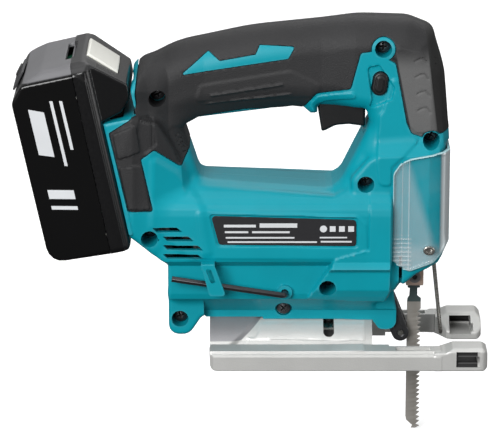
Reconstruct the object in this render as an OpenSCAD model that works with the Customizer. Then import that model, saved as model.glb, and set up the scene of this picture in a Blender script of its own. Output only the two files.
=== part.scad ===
// Cordless D-handle jigsaw, built as an assembly of its separate pieces.
// Millimetres. +X points forward (towards the cut), +Z up, origin in the plane of
// the sole's underside, on the bevel axis, just behind the saw blade.

/* [Tool body] */
// Wall thickness of the moulded housing halves
wall = 2.6; // [2.2:0.1:3.0]
// Half width of the motor body
body_half = 31; // [30:0.5:32]
// Half width of the handle core under the rubber
handle_half = 16.3; // [15.5:0.1:17]
// Half width of the front head under the dust cover
head_half = 25; // [24.5:0.5:25]
// Half width of the battery foot
foot_half = 33; // [32:0.5:34]
// Thickness of the rubber skin
rubber = 1.5; // [1.2:0.1:1.8]

/* [Base] */
// Full width of the base
base_w = 77; // [76:0.5:79]
// Rear end of the base
base_rear = -109.4; // [-109.4:0.1:-108]
// Front end of the prongs
base_front = 39.8; // [38:0.2:41]
// Outer radius of the bevel saddle, centred on the bevel axis
saddle_r = 20.8; // [20.4:0.1:20.8]
// Height of the side rails
rail_h = 10.6; // [10:0.1:10.8]
// Height of the prongs
prong_h = 13; // [12.6:0.1:13.2]

/* [Battery] */
// Tilt of the battery from the vertical, degrees
pack_tilt = 12; // [12:0.1:12.2]
// Width of the battery
pack_w = 75; // [74:0.5:76]
// Depth of the battery behind the foot
pack_d = 44.4; // [44:0.2:46]

/* [Drive] */
// Length of the blade's stroke
stroke = 18; // [16:1:18]
// Height of the motor axis above the sole
motor_z = 66; // [65.5:0.5:66]
// Module of the gear pair
gear_m = 0.8; // [0.8]
// Teeth on the motor pinion
pinion_n = 9; // [9]
// Teeth on the crank gear
crank_n = 36; // [36]

/* [Blade] */
// Centre of the blade, front to back
blade_x = 1.5; // [1.5:0.1:1.7]
// Length of the toothed edge
teeth_len = 70; // [60:1:72]
// Distance between tooth tips
tooth_pitch = 2.6; // [2.4:0.1:3.2]
// Depth of the teeth
tooth_depth = 2.2; // [1.5:0.1:2.4]

/* [Hidden] */
big = 400;
gap = 0.3;
crank_r = stroke / 2;
crank_z = motor_z + gear_m * (pinion_n + crank_n) / 2;
yoke_z = crank_z + crank_r;
pack_origin = [-152, 76.7];

// ---------- outline helpers: corners are [x, z, radius] ----------

function flat(p) = [p[0], p[1]];
function unit(v) = v / norm(v);
function left_of(v) = [-v[1], v[0]];

// Points of the arc that rounds the corner b between a and c
function corner(a, b, c, r, n) =
    let (u = unit(a - b), v = unit(c - b), half = acos(u * v) / 2)
    r <= 0 || half > 89.5 ? [b] :
    let (m = b + unit(u + v) * (r / sin(half)), s = b + u * (r / tan(half)),
         e = b + v * (r / tan(half)), from = atan2(s[1] - m[1], s[0] - m[0]),
         to = atan2(e[1] - m[1], e[0] - m[0]), sweep = ((to - from + 540) % 360) - 180)
    [for (i = [0 : n]) m + r * [cos(from + sweep * i / n), sin(from + sweep * i / n)]];

function rounded(p, n = 4) =
    [for (i = [0 : len(p) - 1])
        each corner(flat(p[(i + len(p) - 1) % len(p)]), flat(p[i]),
                    flat(p[(i + 1) % len(p)]), p[i][2], n)];

// The same counter-clockwise outline moved inwards by d, or outwards for a negative d
function inset(p, d) =
    [for (i = [0 : len(p) - 1])
        let (a = flat(p[(i + len(p) - 1) % len(p)]), b = flat(p[i]),
             c = flat(p[(i + 1) % len(p)]), n1 = left_of(unit(b - a)),
             n2 = left_of(unit(c - b)), q = b + (n1 + n2) * d / (1 + n1 * n2),
             convex = n1 * (c - b) > 0)
        [q[0], q[1], convex ? max(p[i][2] - d, 0.2) : max(p[i][2] + d, 0.2)]];

// Side-view outline, extruded sideways from -half to half
module side(p, half) {
    translate([0, half, 0]) rotate([90, 0, 0])
        linear_extrude(2 * half) polygon(rounded(p));
}

// Side-view outline between two distances to the right of the middle plane
module side_from(p, y0, y1) {
    translate([0, -y0, 0]) rotate([90, 0, 0])
        linear_extrude(y1 - y0) polygon(rounded(p));
}

// Front-view section [y, z], extruded along X
module along(section, x0, x1) {
    translate([x0, 0, 0]) rotate([90, 0, 90])
        linear_extrude(x1 - x0) polygon(section);
}

// Plan-view outline [x, y], extruded upwards
module plan(p, z0, z1) {
    translate([0, 0, z0]) linear_extrude(z1 - z0) polygon(p);
}

function both_sides(half) =
    concat(half, [for (i = [len(half) - 1 : -1 : 0]) [half[i][0], -half[i][1]]]);

module cyl_y(x, z, y0, y1, r) {
    translate([x, y1, z]) rotate([90, 0, 0]) cylinder(h = y1 - y0, r = r, $fn = 48);
}

module cyl_x(x0, x1, y, z, r) {
    translate([x0, y, z]) rotate([0, 90, 0]) cylinder(h = x1 - x0, r = r, $fn = 64);
}

module ring_x(x0, x1, z, ro, ri) {
    difference() {
        cyl_x(x0, x1, 0, z, ro);
        cyl_x(x0 - 1, x1 + 1, 0, z, ri);
    }
}

module box(x0, x1, y0, y1, z0, z1) {
    translate([x0, y0, z0]) cube([x1 - x0, y1 - y0, z1 - z0]);
}

// Everything that follows sits in the battery's own frame: z along its length
module pack_frame() {
    translate([pack_origin[0], 0, pack_origin[1]]) rotate([0, -pack_tilt, 0]) children();
}

module right_half() {
    intersection() {
        children();
        box(-big, big, -big, 0, -big, big);
    }
}

module left_half() {
    intersection() {
        children();
        box(-big, big, 0, big, -big, big);
    }
}

// A coil spring standing on z = 0
module coil(r, wire, turns, height) {
    sides = 6;
    steps = turns * 12;
    points = [for (i = [0 : steps]) for (k = [0 : sides - 1])
        let (a = 30 * i, q = r + wire * cos(60 * k))
        [q * cos(a), q * sin(a), wire + (height - 2 * wire) * i / steps + wire * sin(60 * k)]];
    skins = [for (i = [0 : steps - 1]) for (k = [0 : sides - 1])
        [i * sides + k, i * sides + (k + 1) % sides,
         (i + 1) * sides + (k + 1) % sides, (i + 1) * sides + k]];
    caps = [[for (k = [sides - 1 : -1 : 0]) k],
            [for (k = [0 : sides - 1]) steps * sides + k]];
    polyhedron(points = points, faces = concat([for (f = skins) [f[3], f[2], f[1], f[0]]],
        [for (f = caps) [for (k = [len(f) - 1 : -1 : 0]) f[k]]]));
}

// ---------- outlines of the tool ----------

// Outer side view, from the foot's lower corner along the bottom to the front
frame_pts = [[-152, 75.5, 2], [-131.5, 57.5, 4], [-131.5, 15.2, 6], [-118.5, 15.2, 6.5],
    [-110.8, 22.3, 4], [-98.5, 19.3, 3], [-21, 19.3, 1], [-17.5, 14.2, 3],
    [-8.6, 14.2, 4.5], [-8.6, 26, 3], [-11.3, 31.5, 4], [-5, 41, 1], [2, 47, 3],
    [13.5, 52.5, 5], [16.8, 58, 4], [16.8, 119.8, 0.5], [19.6, 120.6, 0.8],
    [19.6, 130, 40], [14.5, 161, 60], [10, 181.5, 8], [-4, 188.2, 20], [-30, 188.4, 80],
    [-87, 181.6, 150], [-128, 173.4, 25], [-147, 163, 4], [-150, 155, 5],
    [-148.3, 145.5, 5], [-152.5, 138.7, 3], [-164.6, 136, 1]];

// Finger opening of the D-handle
window_pts = [[-113, 100.3, 9], [-43.5, 100.3, 8], [-24.5, 131, 4], [-25.5, 140, 3],
    [-58, 139.8, 2], [-90, 137.2, 30], [-116, 134.3, 5], [-123, 129.8, 3]];

// Wide motor body
body_pts = [[-152, 75.5, 2], [-131.5, 57.5, 4], [-131.5, 34, 5], [-112, 26, 5],
    [-110.8, 22.3, 1], [-98.5, 19.3, 3], [-21, 19.3, 1], [-21, 33, 3], [-12, 46, 4],
    [-12, 101, 8], [-154.5, 101, 1], [-157.4, 101.5, 1]];

// Front head behind the dust cover
head_pts = [[-30, 50, 2], [-14, 46, 2], [-5, 45, 1], [2, 47, 3], [13.5, 52.5, 5],
    [16.8, 58, 4], [16.8, 126, 4], [-30, 126, 4]];

// Battery foot and rear pillar
foot_pts = [[-152, 75.5, 2], [-140, 65, 2], [-126, 84, 6], [-124, 112, 6], [-137, 138, 4],
    [-152.5, 138.7, 2], [-164.6, 136, 1]];

// Half section of the motor body: narrow at the saddle so that the base can tilt
body_half_section = [[0, 19], [9, 19], [9, 25.6], [19.3, 36], [24, 36.6], [29, 40],
    [body_half, 46], [body_half, 88], [28, 91.8], [22, 94.5], [15, 99], [0, 101]];

// Half plan of the D-frame, wide at the battery and narrow along the handle
frame_half_plan = [[-180, foot_half], [-150, foot_half], [-140, 23], [-127, handle_half],
    [-45, handle_half], [-30, 19.5], [6, 19.5], [14, 15.5], [19.8, 7]];

head_half_plan = [[-31, head_half], [8, head_half], [14, 22], [17, 17]];

// Half section of the D-frame: narrow between the rails, wide above them
frame_half_section = [[0, 5], [9, 5], [9, 36.5], [26, 43], [60, 43], [60, 230], [0, 230]];

foot_half_plan = [[-180, foot_half], [-150, foot_half], [-138, body_half - 1], [-120, 17]];

function shrink(half_plan, d) = [for (p = half_plan) [p[0], p[1] - d]];

// Solid body of the housing, moved inwards by d all round
module housing_mass(d) {
    intersection() {
        difference() {
            side(inset(frame_pts, d + rubber * 0.8), 60);
            side(inset(window_pts, -d), 61);
        }
        plan(both_sides(shrink(frame_half_plan, d)), -20, 220);
        union() {
            box(-big, -110.8, -60, 60, 0, 230);
            along(concat([for (p = frame_half_section) [p[0] - (p[0] > 0 ? d : 0), p[1]]],
                [for (i = [len(frame_half_section) - 2 : -1 : 1])
                    [d - frame_half_section[i][0], frame_half_section[i][1]]]), -110.9, 50);
        }
    }
    intersection() {
        side(inset(body_pts, d), 60);
        along(concat([for (p = body_half_section) [p[0] - (p[0] > 0 ? d : 0), p[1]]],
            [for (i = [len(body_half_section) - 2 : -1 : 1])
                [d - body_half_section[i][0], body_half_section[i][1]]]), -200, 50);
    }
    intersection() {
        side(inset(head_pts, d), 60);
        plan(both_sides(shrink(head_half_plan, d)), 0, 220);
    }
    intersection() {
        side(inset(foot_pts, d), 60);
        plan(both_sides(shrink(foot_half_plan, d)), 0, 220);
    }
}

// Screws through both halves: [x, z, distance of the head from the middle plane, column radius]
screw_spots = [[-136.7, 146.9, 12, 4.4], [-17.3, 173, 11, 4.4], [8.6, 123.4, 13, 3.2],
    [-141.1, 72.5, 16, 4.4], [-26.1, 100.6, 14, 4.4], [-46.2, 44.5, 14, 4.4],
    [-69.4, 28, 7, 4.4], [-125.4, 22.5, 9, 4.4]];

// Recess of the battery's sliding block in the foot
module pack_channel() {
    pack_frame() {
        box(-0.1, 3.1, -22.4, 22.4, 3, 62);
        box(3, 10.5, -26, 26, 3, 62);
        box(-20, 0.3, -40, 40, -30, 140);
        box(0, 17.6, -40, 40, 60.4, 120);
    }
}

module housing_hollow() {
    housing_mass(wall);
}

// Solid columns that take the screws
module screw_columns(side_sign) {
    for (s = screw_spots)
        cyl_y(s[0], s[1], side_sign < 0 ? -s[2] : 0, side_sign < 0 ? 0 : 60, s[3]);
}

module screw_holes_right() {
    for (s = screw_spots) {
        cyl_y(s[0], s[1], -60, -s[2] + 2, 4.2);
        cyl_y(s[0], s[1], -60, 1, 2.1);
    }
}

module screw_wells_right() {
    for (s = screw_spots)
        cyl_y(s[0], s[1], -60, -s[2] + 4, 6);
}

// Slanted cooling slots in the motor body
module vents() {
    for (i = [0 : 3]) {
        x0 = i == 0 ? -139 : -134;
        x1 = -124.5 + 5.5 * min(i, 2);
        z = 77.5 - 5 * i;
        rotate([90, 0, 0]) translate([0, 0, -60]) linear_extrude(120)
            polygon([[x0 + 2, z - 1.2], [x1, z - 1.2], [x1 - 2.4, z + 1.2], [x0, z + 1.2]]);
    }
}

// Space that the bevel saddle and the slot for the roller arm need
module base_clearance() {
    cyl_x(-110.9, -20.9, 0, 0, saddle_r + gap);
    cyl_x(-110.9, -80.6, 0, 0, saddle_r + 1.6 + gap);
    box(-19, 30, -6.4, 6.4, 0, 30);
    cyl_y(-13, 28, -6.4, 6.4, 5.4);
    translate([-45, 0, 0]) cylinder(h = 33, r = 2.6, $fn = 48);
    guard_legs(1.05, 47.4);
}

// Both legs of the finger guard, which end in the housing
module guard_legs(r, length) {
    for (s = [-1, 1])
        translate([17, s * 6.5, 11]) rotate([0, -6, 0]) cylinder(h = length, r = r, $fn = 24);
}

// Openings through the moulding for moving pieces
module moving_openings() {
    box(-52.4, -25.6, -8.4, 8.4, 125, 147);
    rotate([0, 0, 0]) translate([-18.9, 0, 154.3]) rotate([90, 8, 0])
        translate([0, 0, -60]) linear_extrude(120) square([8.6, 13.4], center = true);
    translate([blade_x, 0, 0]) cylinder(h = 60, r = 7.6, $fn = 48);
    box(blade_x - 6, 30, -8.4, 8.4, 30, 52.5);
}

module motor_cradles() {
    for (x = [-112, -74])
        difference() {
            intersection() {
                box(x, x + 3, -body_half + 1, body_half - 1, 30, 99);
                housing_mass(wall / 2);
            }
            cyl_x(x - 1, x + 4, 0, motor_z, 20.1);
        }
}

module housing_common() {
    difference() {
        union() {
            difference() {
                housing_mass(0);
                housing_hollow();
            }
            motor_cradles();
        }
        pack_channel();
        base_clearance();
        vents();
        moving_openings();
    }
}

module housing_right() {
    color("#1190a0") difference() {
        union() {
            right_half() housing_common();
            intersection() {
                union() {
                    screw_columns(-1);
                    screw_wells_right();
                }
                right_half() housing_mass(0);
            }
        }
        screw_holes_right();
        pack_channel();
        base_clearance();
        moving_openings();
        cyl_y(-69, 41.4, -60, -22, 1.85);
        cyl_y(arm_pivot[0], arm_pivot[1], -8.5, 0, 2.05);
    }
}

module housing_left() {
    color("#1190a0") difference() {
        union() {
            left_half() housing_common();
            intersection() {
                screw_columns(1);
                left_half() housing_mass(0);
            }
        }
        for (s = screw_spots)
            cyl_y(s[0], s[1], -1, s[2] - 1.5, 1.95);
        pack_channel();
        base_clearance();
        moving_openings();
        cyl_y(lever_at[0], lever_at[1], 20, 60, 2.1);
        cyl_y(arm_pivot[0], arm_pivot[1], 0, 8.5, 2.05);
    }
}

// Area of the housing that the rubber covers
grip_region = [[-161.2, 130.5, 1], [-151.8, 87.6, 1], [-139.1, 87.6, 1], [-145.2, 117, 1],
    [-138.3, 120.7, 1], [-124.1, 109.9, 1], [-117.7, 120.4, 1], [-90, 138.5, 4],
    [-56.6, 140, 1], [-52.7, 148, 2], [-34.3, 151.3, 2], [-29.2, 171.1, 2],
    [-22.4, 171.9, 1], [-17.3, 167, 1], [-10.7, 165.4, 1], [-4.5, 133.2, 4],
    [-1.7, 127.2, 2], [3.1, 125.5, 1], [12.6, 126.1, 2], [26, 131, 1], [26, 200, 1],
    [-170, 200, 1], [-170, 150, 1], [-150.6, 139.2, 1]];

module rubber_skin() {
    difference() {
        intersection() {
            union() {
                intersection() {
                    difference() {
                        side(frame_pts, 60);
                        side(inset(window_pts, 0.8), 61);
                    }
                    plan(both_sides(shrink(frame_half_plan, -rubber)), -20, 220);
                }
                intersection() {
                    side(foot_pts, 60);
                    plan(both_sides(shrink(foot_half_plan, -rubber)), 0, 220);
                }
            }
            side(grip_region, 59);
        }
        housing_mass(0);
        pack_channel();
        moving_openings();
        for (s = screw_spots)
            cyl_y(s[0], s[1], -60, 0, 5.4);
    }
}

module grip_right() {
    color("#2b2c2e") right_half() rubber_skin();
}

module grip_left() {
    color("#2b2c2e") left_half() rubber_skin();
}

module housing_screws() {
    color("#55575a") for (s = screw_spots) difference() {
        union() {
            cyl_y(s[0], s[1], -s[2], -s[2] + 2, 3.6);
            cyl_y(s[0], s[1], -s[2] + 2, s[2] - 2, 1.9);
        }
        for (a = [0, 90])
            translate([s[0], -s[2] + 0.6, s[1]]) rotate([0, a, 0]) cube([4, 1.4, 0.9], center = true);
    }
}

module rating_plate() {
    color("#26282b") side_from([[-104.1, 69.2, 1.5], [-31.2, 68.4, 1.5], [-31.3, 82.9, 1.5],
        [-108.3, 85.1, 1.5]], body_half, body_half + 0.7);
}

// ---------- cover, wire and key ----------

cover_pts = [[-11.6, 59, 2], [-8, 55.6, 2], [-2.6, 52.5, 3], [10.5, 57.4, 3], [15, 62, 3],
    [19, 68, 2], [19, 120.4, 0.5], [12, 119.6, 2], [-2.4, 116, 4], [-7.7, 112.7, 3],
    [-11.6, 107, 3]];

module dust_cover() {
    color("#cfe6ea", 0.5) intersection() {
        difference() {
            side(cover_pts, head_half + 2.1);
            plan(both_sides([[-40, head_half + 0.5], [9, head_half + 0.5], [14.7, 22.8],
                [17.4, 17.6]]), 0, 200);
        }
        plan(both_sides([[-40, head_half + 2.1], [10, head_half + 2.1], [16, 23.8],
            [19.1, 18.4]]), 0, 200);
    }
}

// U-shaped finger guard in front of the blade
module guard_wire() {
    color("#c9c9c6") {
        guard_legs(1, 47);
        for (s = [-1, 1])
            translate([17, s * 6.5, 11]) sphere(r = 1, $fn = 24);
        cyl_y(17, 11, -6.5, 6.5, 1);
    }
}

// Hexagon key, swinging on its short leg in the storage hole
module hex_key() {
    color("#3a3a3c") {
        cyl_y(-69, 41.4, -33.4, -24, 1.75);
        translate([-69, -33.4, 41.4]) rotate([0, -81.2, 0]) cylinder(h = 61, r = 1.9, $fn = 6);
        translate([-69, -33.4, 41.4]) sphere(r = 1.9, $fn = 32);
    }
}

// ---------- trigger, switch and lock button ----------

trigger_pts = [[-50.9, 138, 1], [-48.6, 126, 1.4], [-45, 127.8, 6], [-36, 130, 14],
    [-26.9, 128.6, 1.2], [-26.2, 146, 1], [-51.6, 146, 1]];

module trigger() {
    color("#1f2022") union() {
        side(trigger_pts, 7.9);
        box(-43, -35, -3, 3, 140, 150.4);
    }
}

module trigger_spring() {
    color("silver") translate([-31, 0, 146.1]) coil(2.6, 0.35, 5, 8);
}

module switch_body() {
    color("#303236") difference() {
        box(-64, -29, -9, 9, 154.3, 169);
        box(-44, -34, -4, 4, 150, 162);
    }
}

module lock_button() {
    color("#1b1c1e") translate([-18.9, 0, 154.3]) rotate([90, 8, 0])
        translate([0, 0, -20]) linear_extrude(40)
        polygon(rounded([[-4, -6.4, 3.9], [4, -6.4, 3.9], [4, 6.4, 3.9], [-4, 6.4, 3.9]], 5));
}

// ---------- battery ----------

// Side view in the battery's own frame: x towards the tool, z along its length
pack_low_pts = [[-pack_d, -6.5, 9], [-11, -8, 1], [-11, 97, 1], [-26, 96.5, 6],
    [-38, 92, 5], [-pack_d, 84, 5]];
pack_low_hollow = [[-pack_d + 2.2, -4.6, 6], [-10, -5.6, 0.5], [-10, 94, 0.5],
    [-26, 93.6, 4], [-36, 90.2, 3], [-pack_d + 2.2, 83.2, 3]];
pack_top_pts = [[-11, -8, 1], [-0.3, -8, 4], [-0.3, 62, 1], [10, 64, 2], [15.4, 70, 3],
    [15.4, 77, 3], [-4, 96.4, 3], [-11, 97, 0.5]];
pack_top_hollow = [[-12, -5, 0.5], [-2.6, -5, 0.5], [-2.6, 80, 1], [-4, 84, 1],
    [-7.5, 90, 1], [-12, 91, 0.5]];

// The release button's own frame: x down the slope, z out of it
module button_frame() {
    pack_frame() translate([5.5, 0, 87.2]) rotate([0, 45, 0]) children();
}

module gauge_frame() {
    pack_frame() translate([-pack_d + 3.1, 0, 88.6]) rotate([0, 39, 0]) children();
}

module pack_screw_holes(r) {
    pack_frame() for (y = [-35.3, 35.3]) for (z = [2, 78])
        translate([-8, y, z]) rotate([0, -90, 0]) cylinder(h = 10, r = r, $fn = 24);
}

module battery_case() {
    color("#0d0d0f") difference() {
        pack_frame() difference() {
            side(pack_low_pts, pack_w / 2);
            side(pack_low_hollow, pack_w / 2 - 4.5);
        }
        gauge_frame() box(-0.8, 0.8, -14.7, 14.7, -6, 6);
        gauge_frame() box(-4, 0.8, -14.7, 14.7, -6, 6);
        pack_screw_holes(1.35);
    }
}

module battery_cover() {
    color("#0f0f11") difference() {
        pack_frame() difference() {
            union() {
                side(pack_top_pts, pack_w / 2);
                box(-1, 3.5, -22, 22, 6, 60);
                box(3.4, 9.5, -25.4, 25.4, 6, 60);
            }
            side(pack_top_hollow, pack_w / 2 - 4.5);
            for (s = [-1, 1])
                box(-2.7, 12, s * 12 - 2, s * 12 + 2, -1, 45);
        }
        button_frame() box(-11.4, 8.4, -17.4, 17.4, -6.2, 30);
        pack_screw_holes(1.35);
        pack_frame() for (y = [-35.3, 35.3]) for (z = [2, 78])
            translate([-8.1, y, z]) rotate([0, 90, 0]) cylinder(h = 30, r = 1.5, $fn = 24);
    }
}

module battery_button() {
    color("#e9e7e2") button_frame() difference() {
        box(-11, 8, -17, 17, -3.6, 0.8);
        box(-9, 6, -15, 15, -4, -1.2);
    }
}

module battery_latch_spring() {
    color("silver") button_frame() translate([-1.5, 0, -6.1]) coil(2.5, 0.35, 3, 4.8);
}

module battery_gauge() {
    color("#8b8f93") gauge_frame() difference() {
        box(-0.6, 0.7, -14.5, 14.5, -5.7, 5.7);
        box(-1, 1, 5.6, 12.4, -3.4, 3.4);
    }
}

module gauge_button() {
    color("#2a2a2c") gauge_frame() box(-1.4, 0.3, 6, 12, -3, 3);
}

module battery_cells() {
    color("#3f8f6b") pack_frame() for (i = [0 : 4]) for (x = [-32.4, -14.1])
        cyl_y(x, 6.3 + 18.25 * i, -32.3, 32.3, 9.1);
}

module battery_screws() {
    color("#6b6d70") pack_screw_holes(1.3);
}

module battery_contacts() {
    color("#c9a34a") pack_frame() for (s = [-1, 1])
        box(-2.4, 7, s * 12 - 1.6, s * 12 - 0.9, 8, 40);
}

module terminal_block() {
    color("#1e1f21") pack_frame() difference() {
        box(10.8, 17, -20, 20, 8, 50);
        for (s = [-1, 1])
            box(10, 18, s * 12 - 0.6, s * 12 + 0.6, 14, 34);
    }
}

module terminal_blades() {
    color("#d8b25a") pack_frame() for (s = [-1, 1])
        box(3, 18.5, s * 12 - 0.5, s * 12 + 0.5, 14.2, 33.8);
}

// ---------- motor ----------

module motor_yoke() {
    color("#8f9296") difference() {
        cyl_x(-118, -64, 0, motor_z, 20);
        cyl_x(-116.5, -63, 0, motor_z, 18);
        cyl_x(-119, -110, 0, motor_z, 8.1);
    }
}

module motor_magnets() {
    color("#4a4a4c") for (s = [-1, 1]) intersection() {
        ring_x(-100, -70, motor_z, 17.9, 14);
        box(-101, -69, -12, 12, motor_z + (s > 0 ? 0 : -30), motor_z + (s > 0 ? 30 : 0));
        translate([0, 0, s * 4]) box(-101, -69, -20, 20, motor_z - 20, motor_z + 20);
    }
}

module armature() {
    color("#a9693a") difference() {
        union() {
            cyl_x(-121, -20.5, 0, motor_z, 2.97);
            cyl_x(-20.6, -9.5, 0, motor_z, 1.5);
            cyl_x(-98, -72, 0, motor_z, 13.4);
            cyl_x(-101, -69, 0, motor_z, 9);
        }
        for (a = [0 : 30 : 330])
            translate([-99, 0, motor_z]) rotate([a, 0, 0]) translate([0, -0.8, 10.5])
                cube([28, 1.6, 4]);
    }
}

module commutator() {
    color("#b87333") difference() {
        ring_x(-112.5, -103, motor_z, 8.5, 3);
        for (a = [0 : 30 : 330])
            translate([-113, 0, motor_z]) rotate([a, 0, 0]) translate([0, -0.25, 7.6])
                cube([9, 0.5, 2]);
    }
}

module carbon_brushes() {
    color("#2e2e2e") for (s = [-1, 1])
        box(-111, -104.5, s > 0 ? 8.7 : -17, s > 0 ? 17 : -8.7, motor_z - 2.5, motor_z + 2.5);
}

module cooling_fan() {
    color("#35383c") {
        ring_x(-61, -59.5, motor_z, 17.5, 3);
        ring_x(-60, -52, motor_z, 5.5, 3);
        for (a = [0 : 36 : 324])
            translate([0, 0, motor_z]) rotate([a, 0, 0]) box(-60, -53, -0.6, 0.6, 5, 17);
    }
}

// Straight-toothed outline of a gear with its centre on the origin
module gear_outline(n, m) {
    circle(r = m * n / 2 - m * 1.15, $fn = 96);
    for (i = [0 : n - 1])
        rotate(360 * i / n) polygon([[m * n / 2 - m * 1.4, -m * 0.95], [m * n / 2, -m * 0.68],
            [m * n / 2 + m * 0.92, -m * 0.3], [m * n / 2 + m * 0.92, m * 0.3],
            [m * n / 2, m * 0.68], [m * n / 2 - m * 1.4, m * 0.95]]);
}

module motor_pinion() {
    color("#b9bcc0") difference() {
        translate([-19, 0, motor_z]) rotate([0, 90, 0]) rotate(180)
            linear_extrude(9) gear_outline(pinion_n, gear_m);
        cyl_x(-20, -9, 0, motor_z, 1.5);
    }
}

module rear_bearing() {
    color("#c4c7cb") ring_x(-124, -119, motor_z, 8, 3);
}

module front_bearing() {
    color("#c4c7cb") ring_x(-49.9, -44, motor_z, 9.5, 3);
}

// ---------- gear case, crank and slider ----------

case_pts = [[-50, 54, 2], [11.5, 54, 2], [11.5, 108, 2], [-10, 108, 2], [-10, 92.8, 1],
    [-50, 92.8, 2]];

module gear_case() {
    color("#b5b7ba") difference() {
        side(case_pts, 20.5);
        side_from([[-43, 58, 1], [-27, 58, 1], [-27, 90.5, 1], [-43, 90.5, 1]], -17.5, 17.5);
        side_from([[-20.5, 60.8, 1], [-8.5, 60.8, 1], [-8.5, 65.5, 1], [20, 65.5, 1],
            [20, 101, 1], [-20.5, 101, 1]], -17.5, 17.5);
        cyl_x(-60, -40, 0, motor_z, 9.5);
        cyl_x(-30, -18, 0, motor_z, 6.6);
        cyl_x(-48, -18, 0, crank_z, 6);
        translate([blade_x, 0, 40]) cylinder(h = 80, r = 5.5, $fn = 48);
        box(6.5, 12.5, -30, 30, 100, 109);
        box(8, 20, -21, 21, 53, 66);
    }
}

module crank_gear() {
    color("#c0c3c7") difference() {
        translate([-18, 0, crank_z]) rotate([0, 90, 0]) rotate(5)
            linear_extrude(6) gear_outline(crank_n, gear_m);
        cyl_x(-19, -11, 0, crank_z, 3.98);
        cyl_x(-19, -11, 0, crank_z + crank_r, 2);
    }
}

module crank_shaft() {
    color("#9fa2a6") cyl_x(-48, -12, 0, crank_z, 3.97);
}

// The pin stops half a millimetre short of the slider's yoke
module crank_pin() {
    color("#9fa2a6") union() {
        cyl_x(-18, -6.7, 0, crank_z + crank_r, 2);
        ring_x_at(-11.8, -6.9, crank_z + crank_r, 2.6, 1.9);
    }
}

module ring_x_at(x0, x1, z, ro, ri) {
    difference() {
        cyl_x(x0, x1, 0, z, ro);
        cyl_x(x0 + 0.4, x1 - 0.4, 0, z, ri);
    }
}

module crank_bearings() {
    color("#c4c7cb") {
        ring_x(-48, -43.2, crank_z, 6, 4);
        ring_x(-26.5, -20.6, crank_z, 6, 4);
    }
}

module slider() {
    color("#aab0b5") difference() {
        union() {
            translate([blade_x, 0, 49.8]) cylinder(h = 76.2, r = 3.2, $fn = 48);
            box(-6.2, blade_x, -15.5, 15.5, yoke_z - 5.5, yoke_z + 5.5);
        }
        box(-7, -2.4, -12.5, 12.5, yoke_z - 2.75, yoke_z + 2.75);
    }
}

module slider_bushes() {
    color("#b08d57") for (z = [[54, 65.3], [101.2, 108]])
        translate([blade_x, 0, z[0]]) difference() {
            cylinder(h = z[1] - z[0], r = 5.5, $fn = 48);
            translate([0, 0, -1]) cylinder(h = 20, r = 3.25, $fn = 48);
        }
}

// ---------- blade and its clamp ----------

module blade_holder() {
    color("#8c8378") difference() {
        union() {
            box(blade_x - 4.6, blade_x + 4.9, -5.4, 5.4, 37.8, 49.8);
            box(blade_x - 3, blade_x + 3, -6.4, 6.4, 40, 47);
        }
        box(blade_x - 3.45, blade_x + 3.55, -0.75, 0.75, 37, 47.1);
        cyl_y(blade_x, 43.5, -8, 0, 2.05);
    }
}

module clamp_screw() {
    color("#3a3a3c") difference() {
        union() {
            cyl_y(blade_x, 43.5, -6.6, -0.8, 2);
            cyl_y(blade_x, 43.5, -8.2, -6.4, 3.2);
        }
        translate([blade_x, -7.4, 43.5]) rotate([90, 0, 0]) cylinder(h = 3, r = 1.5, $fn = 6);
    }
}

module saw_blade() {
    back = blade_x - 3.6;
    tip = blade_x + 3.9;
    n = floor(teeth_len / tooth_pitch);
    color("#8f8b88") rotate([90, 0, 0]) translate([0, 0, -0.6]) linear_extrude(1.2)
        polygon(concat(
            [[back, -41], [tip - 2, -46]],
            [for (i = [0 : n - 1]) each [[tip, -44.6 + tooth_pitch * i],
                [tip - tooth_depth, -44.6 + tooth_pitch * (i + 0.25)]]],
            [[tip, 27.2], [tip, 29], [tip - 2, 30.5], [tip - 2, 35], [tip - 0.6, 35.2],
             [tip - 0.6, 38.2], [tip - 1, 46.6], [back + 0.6, 46.6], [back + 0.6, 38.2],
             [back + 0.2, 35.2], [back + 1.4, 35], [back + 1.4, 31], [back, 29.5]]));
}

// ---------- roller guide ----------

arm_pivot = [-13, 28];
roller_at = [-5.75, 11];
lever_at = [-20, 46];

// Pin across the nose that the arm swings on
module arm_pin() {
    color("#9fa2a6") cyl_y(arm_pivot[0], arm_pivot[1], -8.4, 8.4, 2);
}

module arm_outline(r1, r2) {
    d = roller_at - arm_pivot;
    a = atan2(d[1], d[0]);
    translate([arm_pivot[0], 0, arm_pivot[1]]) rotate([90, 0, 0])
        translate([0, 0, -6]) linear_extrude(12) rotate(a)
        polygon(concat([for (t = [90 : 15 : 270]) r1 * [cos(t), sin(t)]],
            [for (t = [-90 : 15 : 90]) [norm(d) + r2 * cos(t), r2 * sin(t)]]));
}

module roller_arm() {
    color("#1c1d1f") difference() {
        arm_outline(5, 4);
        box(-12, 6, -2.9, 2.9, 0, 19.6);
        cyl_y(arm_pivot[0], arm_pivot[1], -7, 7, 2.05);
        cyl_y(roller_at[0], roller_at[1], -7, 7, 1.5);
        box(-2.6, 6, -7, 7, 14, 40);
    }
}

module roller_pins() {
    color("#b9bcc0") cyl_y(roller_at[0], roller_at[1], -6.3, 6.3, 1.49);
}

module guide_roller() {
    color("#9fa2a6") difference() {
        cyl_y(roller_at[0], roller_at[1], -2.6, 2.6, 3.4);
        cyl_y(roller_at[0], roller_at[1], -3, 3, 1.55);
    }
}

// ---------- base ----------

// Half section of one side rail: raised rib at the rim, sloping in to the saddle
rail_section = [[19.5, 0], [38.5, 0], [38.5, 7.6], [37.2, 9], [36.3, 8.4], [35.6, 8.4],
    [35.2, rail_h], [24, rail_h], [20.6, 7.2], [19.5, 7.2]];

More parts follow.
